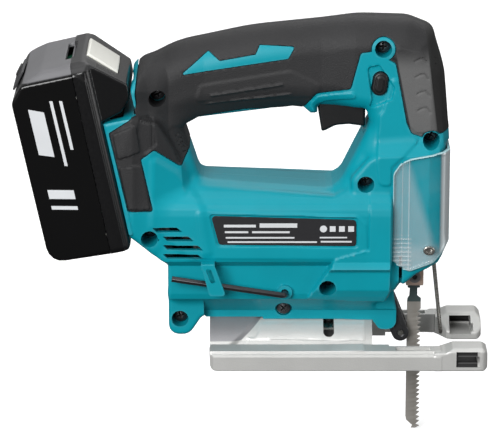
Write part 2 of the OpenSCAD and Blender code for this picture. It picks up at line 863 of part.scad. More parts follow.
module rail(x0, x1, side_sign) {
    scale_y = base_w / 77;
    along([for (i = side_sign > 0 ? [0 : 9] : [9 : -1 : 0])
        [side_sign * rail_section[i][0] * scale_y, rail_section[i][1]]], x0, x1);
}

// Prong seen from the side, with its clipped front corners
prong_plan = [[12, 26.5], [16, 25.4], [21.5, 18], [base_front - 3, 16.8], [base_front, 19.5],
    [base_front, 35.5], [base_front - 3, 38.5], [12, 38.5]];

module prong(side_sign) {
    difference() {
        intersection() {
            translate([0, 0, 0]) linear_extrude(prong_h) polygon([for (i = side_sign > 0 ?
                [0 : 7] : [7 : -1 : 0]) [prong_plan[i][0], side_sign * prong_plan[i][1]]]);
            rotate([90, 0, 0]) translate([0, 0, -50]) linear_extrude(100)
                polygon([[12, 0], [base_front - 1.5, 0], [base_front, 1.5], [base_front, 10],
                    [base_front - 3, prong_h], [20.5, prong_h], [17, rail_h - 0.4],
                    [12, rail_h - 0.4]]);
            along([for (i = side_sign > 0 ? [0 : 5] : [5 : -1 : 0])
                [side_sign * [16.8, 38.5, 38.5, 36.4, 26, 16.8][i],
                 [0, 0, 11, 13.2, 13.2, 3.5][i]]], 0, 60);
        }
        box(22, 34.4, side_sign > 0 ? 10 : -33.5, side_sign > 0 ? 33.5 : -10, 3, 40);
        box(22.1, 34.1, -50, 50, 4.4, 8.4);
        box(22, 34.4, side_sign > 0 ? 36.5 : -40, side_sign > 0 ? 40 : -36.5, 3, 11.4);
    }
}

module saddle_arch(x0, x1, ro) {
    difference() {
        cyl_x(x0, x1, 0, 0, ro);
        cyl_x(x0 - 1, x1 + 1, 0, 0, saddle_r - 3.6);
        box(-200, 100, -40, 40, -40, 0);
    }
}

module base() {
    color("#cfd2d4") difference() {
        union() {
            for (s = [-1, 1]) {
                rail(base_rear, 14, s);
                prong(s);
            }
            saddle_arch(base_rear, -21.5, saddle_r);
            saddle_arch(base_rear, -81, saddle_r + 1.6);
            for (s = [-1, 1])
                box(base_rear, -21.5, s > 0 ? 17.3 : -20.5, s > 0 ? 20.5 : -17.3, 0, 4);
            difference() {
                box(base_rear, -100, -18, 18, 0, 4);
                box(-200, -99, -6, 6, -1, 2);
            }
        }
        // room in front of the saddle for the nose to tilt, wider beside the blade
        box(-21.5, 14, -20.8, 20.8, -1, 30);
        box(-12.8, 14, -26.5, 26.5, -1, 30);
        // slot that the base bolt runs in as the base tilts
        intersection() {
            box(-48.2, -41.8, -16.5, 16.5, 8, 40);
            cyl_x(-60, -30, 0, 0, 30);
        }
        // clipped rear corners
        for (s = [-1, 1])
            translate([base_rear, s * base_w / 2, -1]) rotate([0, 0, 45])
                cube([3, 3, 60], center = true);
    }
}

module base_bolt() {
    color("#3a3a3c") difference() {
        union() {
            translate([-45, 0, 8.5]) cylinder(h = 5, r = 4.2, $fn = 48);
            translate([-45, 0, 13.4]) cylinder(h = 19, r = 2.45, $fn = 48);
        }
        translate([-45, 0, 8]) cylinder(h = 3.5, r = 2.3, $fn = 6);
    }
}

module base_clamp_plate() {
    color("#8f9296") difference() {
        intersection() {
            box(-56, -34, -8.5, 8.5, 13.6, 30);
            cyl_x(-60, -30, 0, 0, saddle_r - 3.6 - 0.1);
        }
        translate([-45, 0, 0]) cylinder(h = 40, r = 2.6, $fn = 48);
    }
}

module saddle_nut() {
    color("#8f9296") difference() {
        box(-53, -37, -6.2, 6.2, 26, 31);
        translate([-45, 0, 0]) cylinder(h = 60, r = 2.5, $fn = 48);
    }
}

// ---------- cutting-action lever on the left side ----------

// Shaft with the cam that sets how far the arm may swing
module lever_shaft() {
    color("#9fa2a6") union() {
        cyl_y(lever_at[0], lever_at[1], 12, 35, 2);
        cyl_y(lever_at[0] + 1, lever_at[1], 12, 15, 3.4);
    }
}

module action_lever() {
    color("#1b1c1e") difference() {
        union() {
            cyl_y(lever_at[0], lever_at[1], 31.3, 36, 6.5);
            box(lever_at[0] - 6, lever_at[0] + 6, 35.8, 38.2, lever_at[1] - 1.6, lever_at[1] + 1.6);
        }
        cyl_y(lever_at[0], lever_at[1], 28, 35.1, 2.05);
    }
}

// ---------- the nodes ----------

housing_right();
housing_left();
grip_right();
grip_left();
housing_screws();
rating_plate();
dust_cover();
guard_wire();
hex_key();
trigger();
trigger_spring();
lock_button();
switch_body();
battery_case();
battery_cover();
battery_button();
battery_latch_spring();
battery_gauge();
gauge_button();
battery_cells();
battery_screws();
battery_contacts();
terminal_block();
terminal_blades();
motor_yoke();
motor_magnets();
armature();
commutator();
carbon_brushes();
cooling_fan();
motor_pinion();
rear_bearing();
front_bearing();
gear_case();
crank_gear();
crank_shaft();
crank_pin();
crank_bearings();
slider();
slider_bushes();
blade_holder();
clamp_screw();
saw_blade();
roller_arm();
arm_pin();
roller_pins();
guide_roller();
base();
base_bolt();
base_clamp_plate();
saddle_nut();
action_lever();
lever_shaft();
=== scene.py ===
"""Cordless D-handle jigsaw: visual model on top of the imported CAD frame.

Lengths in this script are millimetres until a mesh is written, x forward, y to the tool's
left and z up from the sole. Moulded and cast pieces are written as distance functions and
turned into meshes with sharp edges kept (dual contouring).
"""
import bpy
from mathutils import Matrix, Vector
from functools import reduce
import math
import numpy as np


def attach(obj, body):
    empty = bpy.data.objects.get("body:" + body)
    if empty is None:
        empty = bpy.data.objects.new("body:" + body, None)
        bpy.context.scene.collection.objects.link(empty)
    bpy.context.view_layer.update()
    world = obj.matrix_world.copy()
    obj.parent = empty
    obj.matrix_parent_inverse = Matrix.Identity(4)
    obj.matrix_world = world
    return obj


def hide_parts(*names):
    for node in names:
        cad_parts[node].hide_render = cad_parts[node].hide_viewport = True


MM = 0.001
CELL = 0.75        # mesh cell of the large mouldings
FINE = 0.4         # mesh cell of the small pieces

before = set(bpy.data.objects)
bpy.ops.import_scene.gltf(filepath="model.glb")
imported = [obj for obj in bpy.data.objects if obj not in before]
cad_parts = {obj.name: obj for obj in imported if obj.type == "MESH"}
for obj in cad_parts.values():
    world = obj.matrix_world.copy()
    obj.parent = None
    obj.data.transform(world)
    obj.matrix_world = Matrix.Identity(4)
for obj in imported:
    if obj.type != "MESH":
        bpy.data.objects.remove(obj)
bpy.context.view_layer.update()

# ------------------------------------------------------------------ shared dimensions
TILT = math.radians(12)              # battery's lean
PACK_X, PACK_Z = -152.0, 76.7        # battery frame's origin
PACK_D = 44.4                        # battery's depth behind its rails
BLADE_X = 1.5                        # axis of the slider and the blade
SLIDER_R, SLIDER_ROOM = 4.2, 150.0   # radius and top of the slider's bore
SADDLE_R = 20.8                      # base's saddle, round the bevel axis
WALL = 2.6                           # thickness of the shell
SEAM = 0.06                          # half the gap between left and right pieces
NOSE_HALF, LOBE_HALF = 9.0, 16.0     # half widths of the nose and the rear lobe
LOBE_FRONT = -112.5                  # the lobe ends behind the base here
SIDES = ((-1, "right"), (1, "left"))
# places in the side view, x and z
ARM_PIVOT = (-13.0, 28.0)
ROLLER_AT = (-5.75, 11.0)
LEVER_AT = (-20.0, 46.0)
KEY_AT = (-69.0, 41.4)
BOLT_X = -45.0
LOCK_AT, LOCK_LEAN, LOCK_HALF = (-18.9, 154.3), math.radians(8), 2.4
GUARD_FOOT, GUARD_HALF, GUARD_LEAN = (17.0, 11.0), 6.5, math.tan(math.radians(6))

# screws: x, z, distance of the head from the middle plane
SCREWS = [(-136.7, 146.9, 10), (-17.3, 173, 11), (8.6, 123.4, 7), (-141.1, 72.5, 16),
          (-26.1, 100.6, 14), (-46.2, 44.5, 14), (-69.4, 26.4, 8), (-125.4, 22.5, 9)]
WELL_R = 4.5

# ------------------------------------------------------------------ outlines
# Side views, [x, z, corner radius]
FRAME = [(-131.5, 57.5, 4), (-60, 30, 1), (-21, 19.4, 1), (-17.5, 14.2, 3), (-8.6, 14.2, 4.5),
         (-8.6, 26, 3), (-11.3, 31.5, 4), (-9, 40, 1.5), (-5.5, 44.6, 1), (1, 49.8, 2), (6.2, 52.6, 2),
         (13.5, 56, 3), (16.8, 60, 4),
         (16.8, 119.8, 0.5), (19.8, 121.3, 0.8), (20.7, 130, 30), (16.2, 160, 50), (10.4, 180.6, 8),
         (-4, 186.4, 18), (-30, 187.2, 80), (-87, 181.3, 150), (-127, 172.6, 57), (-144.4, 161.8, 18),
         (-150, 153.4, 6), (-149.8, 146, 6), (-151.4, 140, 4), (-158, 120, 2), (-150, 76, 2)]
WINDOW = [(-113.6, 99, 9), (-42, 94.4, 13), (-23.8, 131, 5), (-26, 139.4, 3), (-50.4, 138.8, 1),
          (-51.2, 135.2, 1), (-55.4, 135.2, 1), (-59.4, 138.2, 2), (-65, 138.7, 6), (-90, 136, 40),
          (-116, 133.2, 6), (-123.6, 129.6, 3)]
BODY = [(-152, 75.5, 2), (-131.5, 56.4, 3), (-131.5, 34, 4), (-118, 26, 6), (-110.8, 20.5, 3),
        (-98.5, 19.4, 2), (-21, 19.4, 1), (-20.5, 30, 3), (-14.8, 33.6, 2), (-11.9, 42, 2),
        (-11.8, 60, 1), (-11.8, 101, 3), (-30, 101, 4), (-43, 94.4, 4), (-113, 99, 4),
        (-154.5, 101, 1), (-157.4, 101.5, 1)]
HEAD = [(-34, 40.8, 2), (-10.5, 40.8, 1), (-8.4, 44.6, 0.8), (-4.9, 44.6, 0.8), (1, 49.8, 1.5),
        (6.2, 52.6, 2), (13.5, 56, 3), (16.8, 60, 4), (16.8, 121.8, 2), (-21, 119.2, 4), (-34, 103.5, 6)]
FOOT = [(-152.1, 75.2, 1.5), (-138, 64, 2), (-122, 84, 8), (-120, 106, 8), (-137, 136, 8),
        (-151.2, 139.5, 2.5), (-164.8, 136.2, 1)]
NOSE = [(-21, 30, 1), (-18.5, 14.4, 3.5), (-8.8, 14.4, 4.4), (-8.6, 26, 3), (-10.5, 40, 1), (-21, 40, 1)]
LOBE = [(-131.5, 40, 2), (-131.5, 13.3, 6.3), (-120.4, 13.3, 6.3), (-113.6, 23.6, 5), (-104, 26, 1),
        (-104, 40, 1)]
GRIP = [(-161.9, 131.2, 1.5), (-152.3, 88.2, 1.5), (-138.9, 87.6, 1.5), (-145.2, 116.4, 1.2),
        (-138.3, 121.2, 1.2), (-124.1, 110.2, 1.5), (-118.2, 120.4, 1.5), (-117, 134, 6),
        (-90, 138.5, 4), (-60, 137.5, 1), (-56.2, 143.6, 2), (-52.4, 148.2, 3), (-34.3, 151.3, 2),
        (-29.2, 171.1, 2.2), (-22.4, 171.9, 1), (-16.5, 168.5, 2), (-10.7, 165.4, 2),
        (-4.6, 133.2, 3), (-1.9, 127.2, 3), (4, 125.2, 1), (13, 126.4, 2), (24, 129.5, 1),
        (24, 200, 1), (-170, 200, 1), (-150, 174, 1), (-147.2, 160, 6), (-148.2, 151, 6),
        (-147.4, 145, 6), (-150.4, 138.6, 4)]
ACCENT = [(-124.1, 158.7, 0.5), (-67.5, 167.4, 0.8), (-64, 173.6, 0.8), (-82.3, 174.4, 0.8),
          (-84.6, 169.5, 0.8), (-103.6, 166, 1.2), (-109.6, 170.9, 0.8)]
# Half plans, [x, y, radius], which run on past the middle plane
FRAME_PLAN = [(-190, 33), (-150, 32.6), (-141, 24.5), (-131, 18.4), (-112, 16.9), (-50, 16.9),
              (-32, 19), (8, 19.4), (15, 16.4), (20.3, 10), (20.9, -40), (-190, -40)]
HEAD_PLAN = [(-36, 25), (7.5, 25), (13.8, 22), (16.9, 17), (16.9, -40), (-36, -40)]
FOOT_PLAN = [(-185, 33), (-150, 33), (-140, 31.5), (-124, 24), (-116, 12), (-116, -40), (-185, -40)]
# Half sections, [y, z]
BODY_SECTION = [(-40, 19.3), (9, 19.3), (9, 25.6), (19.3, 36), (25.4, 36.8), (26.4, 40), (26.8, 56),
                (30.6, 59.5), (31, 62), (31, 85), (30.5, 88.2), (29, 91),
                (26.4, 93.8), (23, 96.4), (19, 98.8), (14, 100.6), (10, 101.2), (-40, 101.2)]
NECK_SECTION = [(-40, 5), (9, 5), (9, 36.5), (26, 43), (60, 43), (60, 230), (-40, 230)]
# room for the base when it tilts by 45 degrees
TILT_SECTION = [(-40, 5), (8.4, 5), (8.4, 24.9), (19.1, 35.6), (60, 35.6), (60, 230), (-40, 230)]


def rounded(points, steps=4):
    """Corner points of an outline with its corner radii drawn as short arcs."""
    out = []
    n = len(points)
    for i, p in enumerate(points):
        b = np.array(p[:2], float)
        r = p[2] if len(p) > 2 else 0
        a, c = np.array(points[i - 1][:2], float), np.array(points[(i + 1) % n][:2], float)
        u, v = (a - b) / np.linalg.norm(a - b), (c - b) / np.linalg.norm(c - b)
        half = math.acos(max(-1, min(1, float(u @ v)))) / 2
        if r <= 0 or half > math.radians(89.5):
            out.append(b)
            continue
        reach = min(r / math.tan(half), 0.49 * np.linalg.norm(a - b), 0.49 * np.linalg.norm(c - b))
        r = reach * math.tan(half)
        m = b + (u + v) / np.linalg.norm(u + v) * r / math.sin(half)
        s, e = b + u * reach - m, b + v * reach - m
        t0, t1 = math.atan2(s[1], s[0]), math.atan2(e[1], e[0])
        sweep = (t1 - t0 + 3 * math.pi) % (2 * math.pi) - math.pi
        for k in range(steps + 1):
            t = t0 + sweep * k / steps
            out.append(m + r * np.array([math.cos(t), math.sin(t)]))
    return np.array(out)


def polygon_distance(u, v, points):
    """Signed distance to a closed outline, negative inside."""
    pts = rounded(points)
    best = np.full(u.shape, 1e18)
    sign = np.ones(u.shape)
    for a, b in zip(pts, np.roll(pts, 1, axis=0)):
        e = b - a
        wu, wv = u - a[0], v - a[1]
        t = np.clip((wu * e[0] + wv * e[1]) / max(e @ e, 1e-12), 0, 1)
        best = np.minimum(best, (wu - e[0] * t) ** 2 + (wv - e[1] * t) ** 2)
        above, below = v >= a[1], v < b[1]
        left = e[0] * wv > e[1] * wu
        sign[(above & below & left) | (~above & ~below & ~left)] *= -1
    return sign * np.sqrt(best)


class Field:
    """A value stored on a fine flat grid and read between its points."""
    STEP = 0.5

    def __init__(self, lo, hi, fill):
        self.lo = np.array(lo, float)
        n = np.ceil((np.array(hi) - self.lo) / self.STEP).astype(int) + 1
        u, v = np.meshgrid(*(self.lo[k] + self.STEP * np.arange(n[k]) for k in (0, 1)), indexing="ij")
        self.v = np.ascontiguousarray(fill(u, v), dtype=np.float32)
        self.n = n

    def __call__(self, u, v):
        a = np.clip((u - self.lo[0]) / self.STEP, 0, self.n[0] - 1.001)
        b = np.clip((v - self.lo[1]) / self.STEP, 0, self.n[1] - 1.001)
        i, j = a.astype(np.int32), b.astype(np.int32)
        a, b = a - i, b - j
        k = i * self.n[1] + j
        f = self.v.ravel()
        low = f[k] * (1 - b) + f[k + 1] * b
        k += self.n[1]
        high = f[k] * (1 - b) + f[k + 1] * b
        return low * (1 - a) + high * a


SIDE_LO, SIDE_HI = (-178, 2), (34, 200)


def side_field(fill):
    return Field(SIDE_LO, SIDE_HI, fill)


def outline(points):
    return lambda u, v: polygon_distance(u, v, points)


def ramp(v, lo, hi):
    """0 below lo, 1 above hi, smooth between."""
    t = np.clip((v - lo) / (hi - lo), 0, 1)
    return t * t * (3 - 2 * t)


def rounded_max(a, b, r):
    """Intersection with an edge rounded to radius r."""
    u, v = a + r, b + r
    return np.minimum(np.maximum(u, v), 0) + np.hypot(np.maximum(u, 0), np.maximum(v, 0)) - r


def soft_min(a, b, k):
    h = np.clip(0.5 + 0.5 * (b - a) / k, 0, 1)
    return b * (1 - h) + a * h - k * h * (1 - h)


def soft_max(a, b, k):
    return -soft_min(-a, -b, k)


def joined(*parts):
    return reduce(np.minimum, parts)


def common(*parts):
    return reduce(np.maximum, parts)


def less(d, *holes):
    """Shape d with the holes cut out of it."""
    for hole in holes:
        d = np.maximum(d, -hole)
    return d


def mirrored(p):
    """Points with y counted outwards from the middle plane."""
    return np.stack([p[:, 0], np.abs(p[:, 1]), p[:, 2]], 1)


def from_point(x, z, at):
    """Distance in the side view from a point."""
    return np.hypot(x - at[0], z - at[1])


def leaning(x, z, at, lean):
    """Side-view coordinates along the axes of a part that leans about a point."""
    dx, dz = x - at[0], z - at[1]
    c, s = math.cos(lean), math.sin(lean)
    return dx * c - dz * s, dx * s + dz * c


def lock_pill(x, z):
    """Distance in the side view from the lock button's centre line."""
    lx, lz = leaning(x, z, LOCK_AT, LOCK_LEAN)
    return np.hypot(lx, np.maximum(np.abs(lz) - LOCK_HALF, 0))


def box(p, lo, hi):
    lo, hi = np.array(lo, float), np.array(hi, float)
    q = np.abs(p - (lo + hi) / 2) - (hi - lo) / 2
    return np.linalg.norm(np.maximum(q, 0), axis=1) + np.minimum(q.max(axis=1), 0)


def to_pack(p):
    """Points in the battery's own frame."""
    dx, dz = p[:, 0] - PACK_X, p[:, 2] - PACK_Z
    c, s = math.cos(TILT), math.sin(TILT)
    return np.stack([dx * c + dz * s, p[:, 1], dz * c - dx * s], 1)


def from_pack(x, z):
    c, s = math.cos(TILT), math.sin(TILT)
    return PACK_X + x * c - z * s, PACK_Z + x * s + z * c


# ------------------------------------------------------------------ contouring
def contour(f, lo, hi, cell, bend=1.35, block=6):
    """Vertices and quads of the surface f = 0, with sharp edges kept."""
    lo = np.array(lo, float) - 1.5 * cell
    nb = np.ceil((np.array(hi) + 1.5 * cell - lo) / cell / block).astype(int)
    n = nb * block
    centres = np.stack(np.meshgrid(*(lo[k] + (np.arange(nb[k]) + 0.5) * block * cell
                                     for k in range(3)), indexing="ij"), -1).reshape(-1, 3)
    rough = f(centres)
    # blocks that the surface may reach: within half their diagonal, with room for bent distances
    near = np.abs(rough) < (0.87 * block * cell) * bend + 1.5 * cell
    values = np.repeat(np.repeat(np.repeat(rough.reshape(nb), block, 0), block, 1), block, 2)
    values = values.astype(np.float32)
    corner = np.stack(np.unravel_index(np.nonzero(near)[0], nb), 1) * block
    inner = np.stack(np.meshgrid(*[np.arange(block)] * 3, indexing="ij"), -1).reshape(-1, 3)
    step = 400
    for a in range(0, len(corner), step):
        ijk = (corner[a:a + step, None, :] + inner[None]).reshape(-1, 3)
        values[ijk[:, 0], ijk[:, 1], ijk[:, 2]] = f(lo + cell * ijk)
    inside = values < 0
    where, quads = [], []
    for ax in range(3):
        a = [slice(1, -1)] * 3
        b = [slice(1, -1)] * 3
        b[ax] = slice(2, None)
        s0, s1 = inside[tuple(a)], inside[tuple(b)]
        ijk = np.stack(np.nonzero(s0 != s1), 1) + 1
        nxt = ijk.copy()
        nxt[:, ax] += 1
        v0 = values[ijk[:, 0], ijk[:, 1], ijk[:, 2]].astype(float)
        v1 = values[nxt[:, 0], nxt[:, 1], nxt[:, 2]].astype(float)
        p0 = lo + cell * ijk
        t = v0 / (v0 - v1)
        p = p0.copy()
        p[:, ax] += t * cell
        vm = f(p)
        same = (vm < 0) == (v0 < 0)
        t0, w0 = np.where(same, t, 0), np.where(same, vm, v0)
        t1, w1 = np.where(same, 1, t), np.where(same, v1, vm)
        t = np.clip(t0 + (t1 - t0) * w0 / np.where(np.abs(w0 - w1) < 1e-9, 1e-9, w0 - w1), 0, 1)
        p = p0.copy()
        p[:, ax] += t * cell
        where.append(p)
        u, v = (ax + 1) % 3, (ax + 2) % 3
        ring = []
        for du, dv in ((-1, -1), (0, -1), (0, 0), (-1, 0)):
            c = ijk.copy()
            c[:, u] += du
            c[:, v] += dv
            ring.append((c[:, 0] * n[1] + c[:, 1]) * n[2] + c[:, 2])
        ring = np.stack(ring, 1)
        flip = v0 > 0
        ring[flip] = ring[flip][:, ::-1]
        quads.append(ring)
    where, quads = np.concatenate(where), np.concatenate(quads)
    # surface directions from four samples round each crossing
    eps = 0.12 * cell
    taps = np.array([[1, -1, -1], [-1, -1, 1], [-1, 1, -1], [1, 1, 1]], float)
    normal = sum(k * f(where + eps * k)[:, None] for k in taps)
    normal /= np.maximum(np.linalg.norm(normal, axis=1), 1e-12)[:, None]
    ids, inverse = np.unique(quads.ravel(), return_inverse=True)
    edge = np.repeat(np.arange(len(where)), 4)
    m = len(ids)
    count = np.bincount(inverse, minlength=m).astype(float)
    mass = np.stack([np.bincount(inverse, where[edge, k], m) for k in range(3)], 1) / count[:, None]
    ne = normal[edge]
    off = np.einsum("ij,ij->i", ne, where[edge] - mass[inverse])
    ata = np.zeros((m, 3, 3))
    for i in range(3):
        for j in range(i, 3):
            ata[:, i, j] = ata[:, j, i] = np.bincount(inverse, ne[:, i] * ne[:, j], m)
    atb = np.stack([np.bincount(inverse, ne[:, k] * off, m) for k in range(3)], 1)
    # a slight pull towards the middle keeps flat places steady
    ata += np.eye(3) * 0.06
    move = np.linalg.solve(ata, atb[..., None])[..., 0]
    far = np.linalg.norm(move, axis=1)
    move *= np.minimum(1, 0.9 * cell / np.maximum(far, 1e-9))[:, None]
    return mass + move, inverse.reshape(-1, 4)


def mesh_object(name, verts, faces, sharp=34):
    """Mesh object from points in millimetres, faces as an array of quads or a list."""
    me = bpy.data.meshes.new(name)
    if isinstance(faces, np.ndarray):
        me.vertices.add(len(verts))
        me.vertices.foreach_set("co", (np.asarray(verts) * MM).astype(np.float32).ravel())
        me.loops.add(faces.size)
        me.loops.foreach_set("vertex_index", faces.astype(np.int32).ravel())
        me.polygons.add(len(faces))
        me.polygons.foreach_set("loop_start", np.arange(0, faces.size, 4, dtype=np.int32))
        me.update(calc_edges=True)
        me.validate()
    else:
        me.from_pydata([tuple(c * MM for c in v) for v in verts], [], faces)
        me.update()
    me.polygons.foreach_set("use_smooth", np.ones(len(me.polygons), bool))
    me.set_sharp_from_angle(angle=math.radians(sharp))
    ob = bpy.data.objects.new(name, me)
    bpy.context.scene.collection.objects.link(ob)
    return ob


def piece(ob, body, mat, slot, *nodes):
    ob.data.materials.clear()
    ob.data.materials.append(mat)
    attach(ob, body)
    if nodes:
        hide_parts(*nodes)
    return ob


def solid(name, f, lo, hi, cell, body, mat, slot, *nodes, sharp=34):
    return piece(mesh_object(name, *contour(f, lo, hi, cell), sharp=sharp), body, mat, slot, *nodes)


# ------------------------------------------------------------------ materials
def linear(*srgb):
    return [((c / 12.92) if c <= 0.04045 else ((c + 0.055) / 1.055) ** 2.4) for c in srgb] + [1.0]


class Shader:
    """A material under construction, in the object's own coordinates."""

    def __init__(self, name):
        self.material = bpy.data.materials.new(name)
        self.material.use_nodes = True
        self.tree = self.material.node_tree
        self.surface = self.tree.nodes["Principled BSDF"]
        self.coords = self.add("TexCoord", {}).outputs["Object"]

    def fill(self, node, values):
        """Set or link a node's inputs; each value is a number, a tuple or another node's output."""
        for key, value in values.items():
            if isinstance(value, bpy.types.NodeSocket):
                self.tree.links.new(value, node.inputs[key])
            else:
                node.inputs[key].default_value = value

    def add(self, kind, values, **settings):
        node = self.tree.nodes.new("ShaderNode" + kind)
        for key, value in settings.items():
            setattr(node, key, value)
        self.fill(node, values)
        return node

    def noise(self, scale, detail, at):
        return self.add("TexNoise", {"Scale": scale, "Detail": detail, "Vector": at}).outputs["Fac"]

    def spread(self, value, lo, hi, to_lo=0.0, to_hi=1.0, **settings):
        """The value with the range lo to hi stretched to to_lo to to_hi."""
        return self.add("MapRange", {"Value": value, "From Min": lo, "From Max": hi, "To Min": to_lo,
                                     "To Max": to_hi}, **settings).outputs["Result"]

    def maths(self, operation, *values):
        return self.add("Math", dict(enumerate(values)), operation=operation).outputs["Value"]

    def tinted(self, colour, factor):
        values = {0: linear(*colour)[:3], "Scale": factor}
        return self.add("VectorMath", values, operation="SCALE").outputs["Vector"]

    def mixed(self, mask, a, b, kind="FLOAT"):
        return self.add("Mix", {"Factor": mask, "A": a, "B": b}, data_type=kind).outputs["Result"]

    def zone(self, planes):
        """1 where a point lies in front of every plane, each (x, y, z, distance in mm, blur in mm)."""
        mask = None
        for nx, ny, nz, reach, blur in planes:
            along = self.add("VectorMath", {0: self.coords, 1: (nx, ny, nz)}, operation="DOT_PRODUCT")
            edge = self.spread(along.outputs["Value"], (reach - blur / 2) * MM, (reach + blur / 2) * MM,
                               interpolation_type="SMOOTHSTEP")
            mask = self.maths("MULTIPLY", mask, edge) if mask else edge
        return mask


def side_plane(a, b, blur):
    """Plane through two side-view points, in front to the right of the way from a to b."""
    dx, dz = b[0] - a[0], b[1] - a[1]
    n = math.hypot(dx, dz)
    return dz / n, 0.0, -dx / n, (dz * a[0] - dx * a[1]) / n, blur


def material(name, colour, rough, metal=0.0, vary=0.12, patch=35, grain=1400, bump=0.12, rough_vary=0.06,
             wear=0.0, brushed=None, spec=0.5, zones=()):
    """Procedural surface: colour that drifts slightly, uneven roughness, grain and worn edges.

    Each zone is (planes, colour, roughness) and covers the space in front of all its planes.
    """
    sh = Shader(name)
    fine_at = sh.coords
    if brushed:
        fine_at = sh.add("VectorMath", {0: sh.coords, 1: brushed}, operation="MULTIPLY").outputs["Vector"]
    tone = sh.spread(sh.noise(patch, 4, sh.coords), 0.3, 0.7, 1 - vary, 1 + vary)
    fine = sh.noise(grain, 3, fine_at)
    paint = sh.tinted(colour, tone)
    dull = sh.spread(fine, 0.3, 0.7, max(0.02, rough - rough_vary), rough + rough_vary)
    for planes, zone_colour, zone_rough in zones:
        mask = sh.zone(planes)
        paint = sh.mixed(mask, paint, sh.tinted(zone_colour, tone), "VECTOR")
        dull = sh.mixed(mask, dull, zone_rough)
    if wear:
        edge = sh.spread(sh.add("NewGeometry", {}).outputs["Pointiness"], 0.52, 0.62, 0.0, wear)
        paint = sh.mixed(edge, paint, (0.8, 0.8, 0.8, 1), "RGBA")
    grit = sh.add("Bump", {"Strength": bump, "Distance": 0.4 * MM, "Height": fine}).outputs["Normal"]
    sh.fill(sh.surface, {"Base Color": paint, "Roughness": dull, "Normal": grit, "Metallic": metal,
                         "Specular IOR Level": spec})
    return sh.material


RIB_PITCH = 2.4                      # spacing of the finger ribs on the clear cover
# plane behind which the cover's rear part carries a painted reflection, drawn as a lighter veil
PAINTED_REFLECTION_PLANE = side_plane((-3.0, 111.0), (10.6, 65.7), 6.0)


def clear_material():
    """Clear sheet: mostly see-through, with a painted reflection over its rear part and a thick-looking front
    bend.
    """
    sh = Shader("clear_cover")
    sh.fill(sh.surface, {"Base Color": linear(0.88, 0.90, 0.91), "Roughness": 0.12,
                         "Specular IOR Level": 0.7})
    ribs = sh.add("TexWave", {"Scale": math.pi / (10 * RIB_PITCH * MM), "Vector": sh.coords},
                  bands_direction="Z")
    crest = sh.spread(ribs.outputs["Fac"], 0.72, 0.92, 0.0, 0.15)
    # areas that hide more of what lies behind: planes and strength
    # the first area is the painted reflection over the rear part
    areas = [([PAINTED_REFLECTION_PLANE], 0.12), ([(1, 0, 0, 14.6, 3.0)], 0.62), ([(0, 0, -1, -66.0, 8.0)], 0.10),
             ([(-1, 0, 0, 1.5, 0.4), (0, 0, -1, -73, 0.4)], crest)]
    # thin painted highlights along the two edges of the upright channel
    for rear in (-7.0, -3.4):
        areas.append(([(1, 0, 0, rear, 0.2), (-1, 0, 0, -rear - 0.6, 0.2)], 0.14))
    total = sh.spread(sh.noise(90, 5, sh.coords), 0.3, 0.7, 0.0, 0.03)
    for planes, strength in areas:
        total = sh.maths("MULTIPLY_ADD", sh.zone(planes), strength, total)
    through = sh.add("BsdfTransparent", {"Color": (0.96, 0.98, 0.98, 1)})
    mix = sh.add("MixShader", {"Fac": total, 1: through.outputs["BSDF"], 2: sh.surface.outputs["BSDF"]})
    sh.fill(sh.tree.nodes["Material Output"], {"Surface": mix.outputs["Shader"]})
    return sh.material


# side-view planes of the rubber's front panel, which carries a painted sheen, and of the band in front of it,
# which carries painted shade
PANEL_REAR = side_plane((-2.8, 131.0), (-9.9, 167.0), 0.8)
PANEL_FRONT = side_plane((12.3, 125.0), (7.2, 166.0), 0.8)
PANEL_BACKSIDE = tuple(-v for v in PANEL_FRONT[:4]) + (0.8,)
PANEL_TOP = (0.0, 0.0, -1.0, -168.0, 14.0)
PANEL_FOOT = (0.0, 0.0, 1.0, 122.0, 2.0)
# plane of the battery's upward face, which both shells paint rougher and lighter grey, the grey a painted
# sheen of the light from above
TOP_FACE = (math.sin(-TILT), 0.0, math.cos(TILT),
            91.4 + PACK_Z * math.cos(TILT) - PACK_X * math.sin(TILT), 0.8)

TEAL = material("teal_nylon", (0.0, 0.555, 0.615), 0.42, spec=0.25, vary=0.05, bump=0.06, grain=2600,
                wear=0.05)
# the rubber: a painted sheen lightens the front panel and painted shade darkens the band in front of it
RUBBER = material("grip_rubber", (0.145, 0.145, 0.15), 0.58, vary=0.10, bump=0.55, grain=1700, spec=0.35,
                  zones=[((PANEL_REAR, PANEL_BACKSIDE, PANEL_TOP, PANEL_FOOT), (0.36, 0.36, 0.36), 0.72),
                         ((PANEL_FRONT, PANEL_FOOT), (0.12, 0.12, 0.12), 0.6)])
BLACK = material("black_nylon", (0.075, 0.075, 0.08), 0.42, vary=0.10, bump=0.10, grain=2200, spec=0.4)
# the gloss shells' upward face is rougher and carries a painted sheen, lighter grey beyond TOP_FACE
GLOSS = material("gloss_shell", (0.03, 0.03, 0.032), 0.12, vary=0.06, bump=0.01, grain=600,
                 rough_vary=0.02, spec=0.4, zones=[((TOP_FACE,), (0.42, 0.42, 0.43), 0.45)])
GREY_GLOSS = material("shell_dark", (0.045, 0.045, 0.05), 0.22, vary=0.08, bump=0.03, grain=900,
                      rough_vary=0.04, spec=0.5, zones=[((TOP_FACE,), (0.15, 0.15, 0.155), 0.42)])
GREY_SHELL = material("shell_grey", (0.18, 0.18, 0.19), 0.42, vary=0.08, bump=0.08, grain=1800)
WHITE = material("white_button", (0.90, 0.90, 0.87), 0.40, vary=0.03, bump=0.10, grain=1500)
CLEAR = clear_material()
# the cover's cut edges, drawn opaque and light as a painted highlight along them
CLEAR_EDGE = material("clear_edge", (0.62, 0.76, 0.78), 0.2, vary=0.06, bump=0.05, spec=0.8)
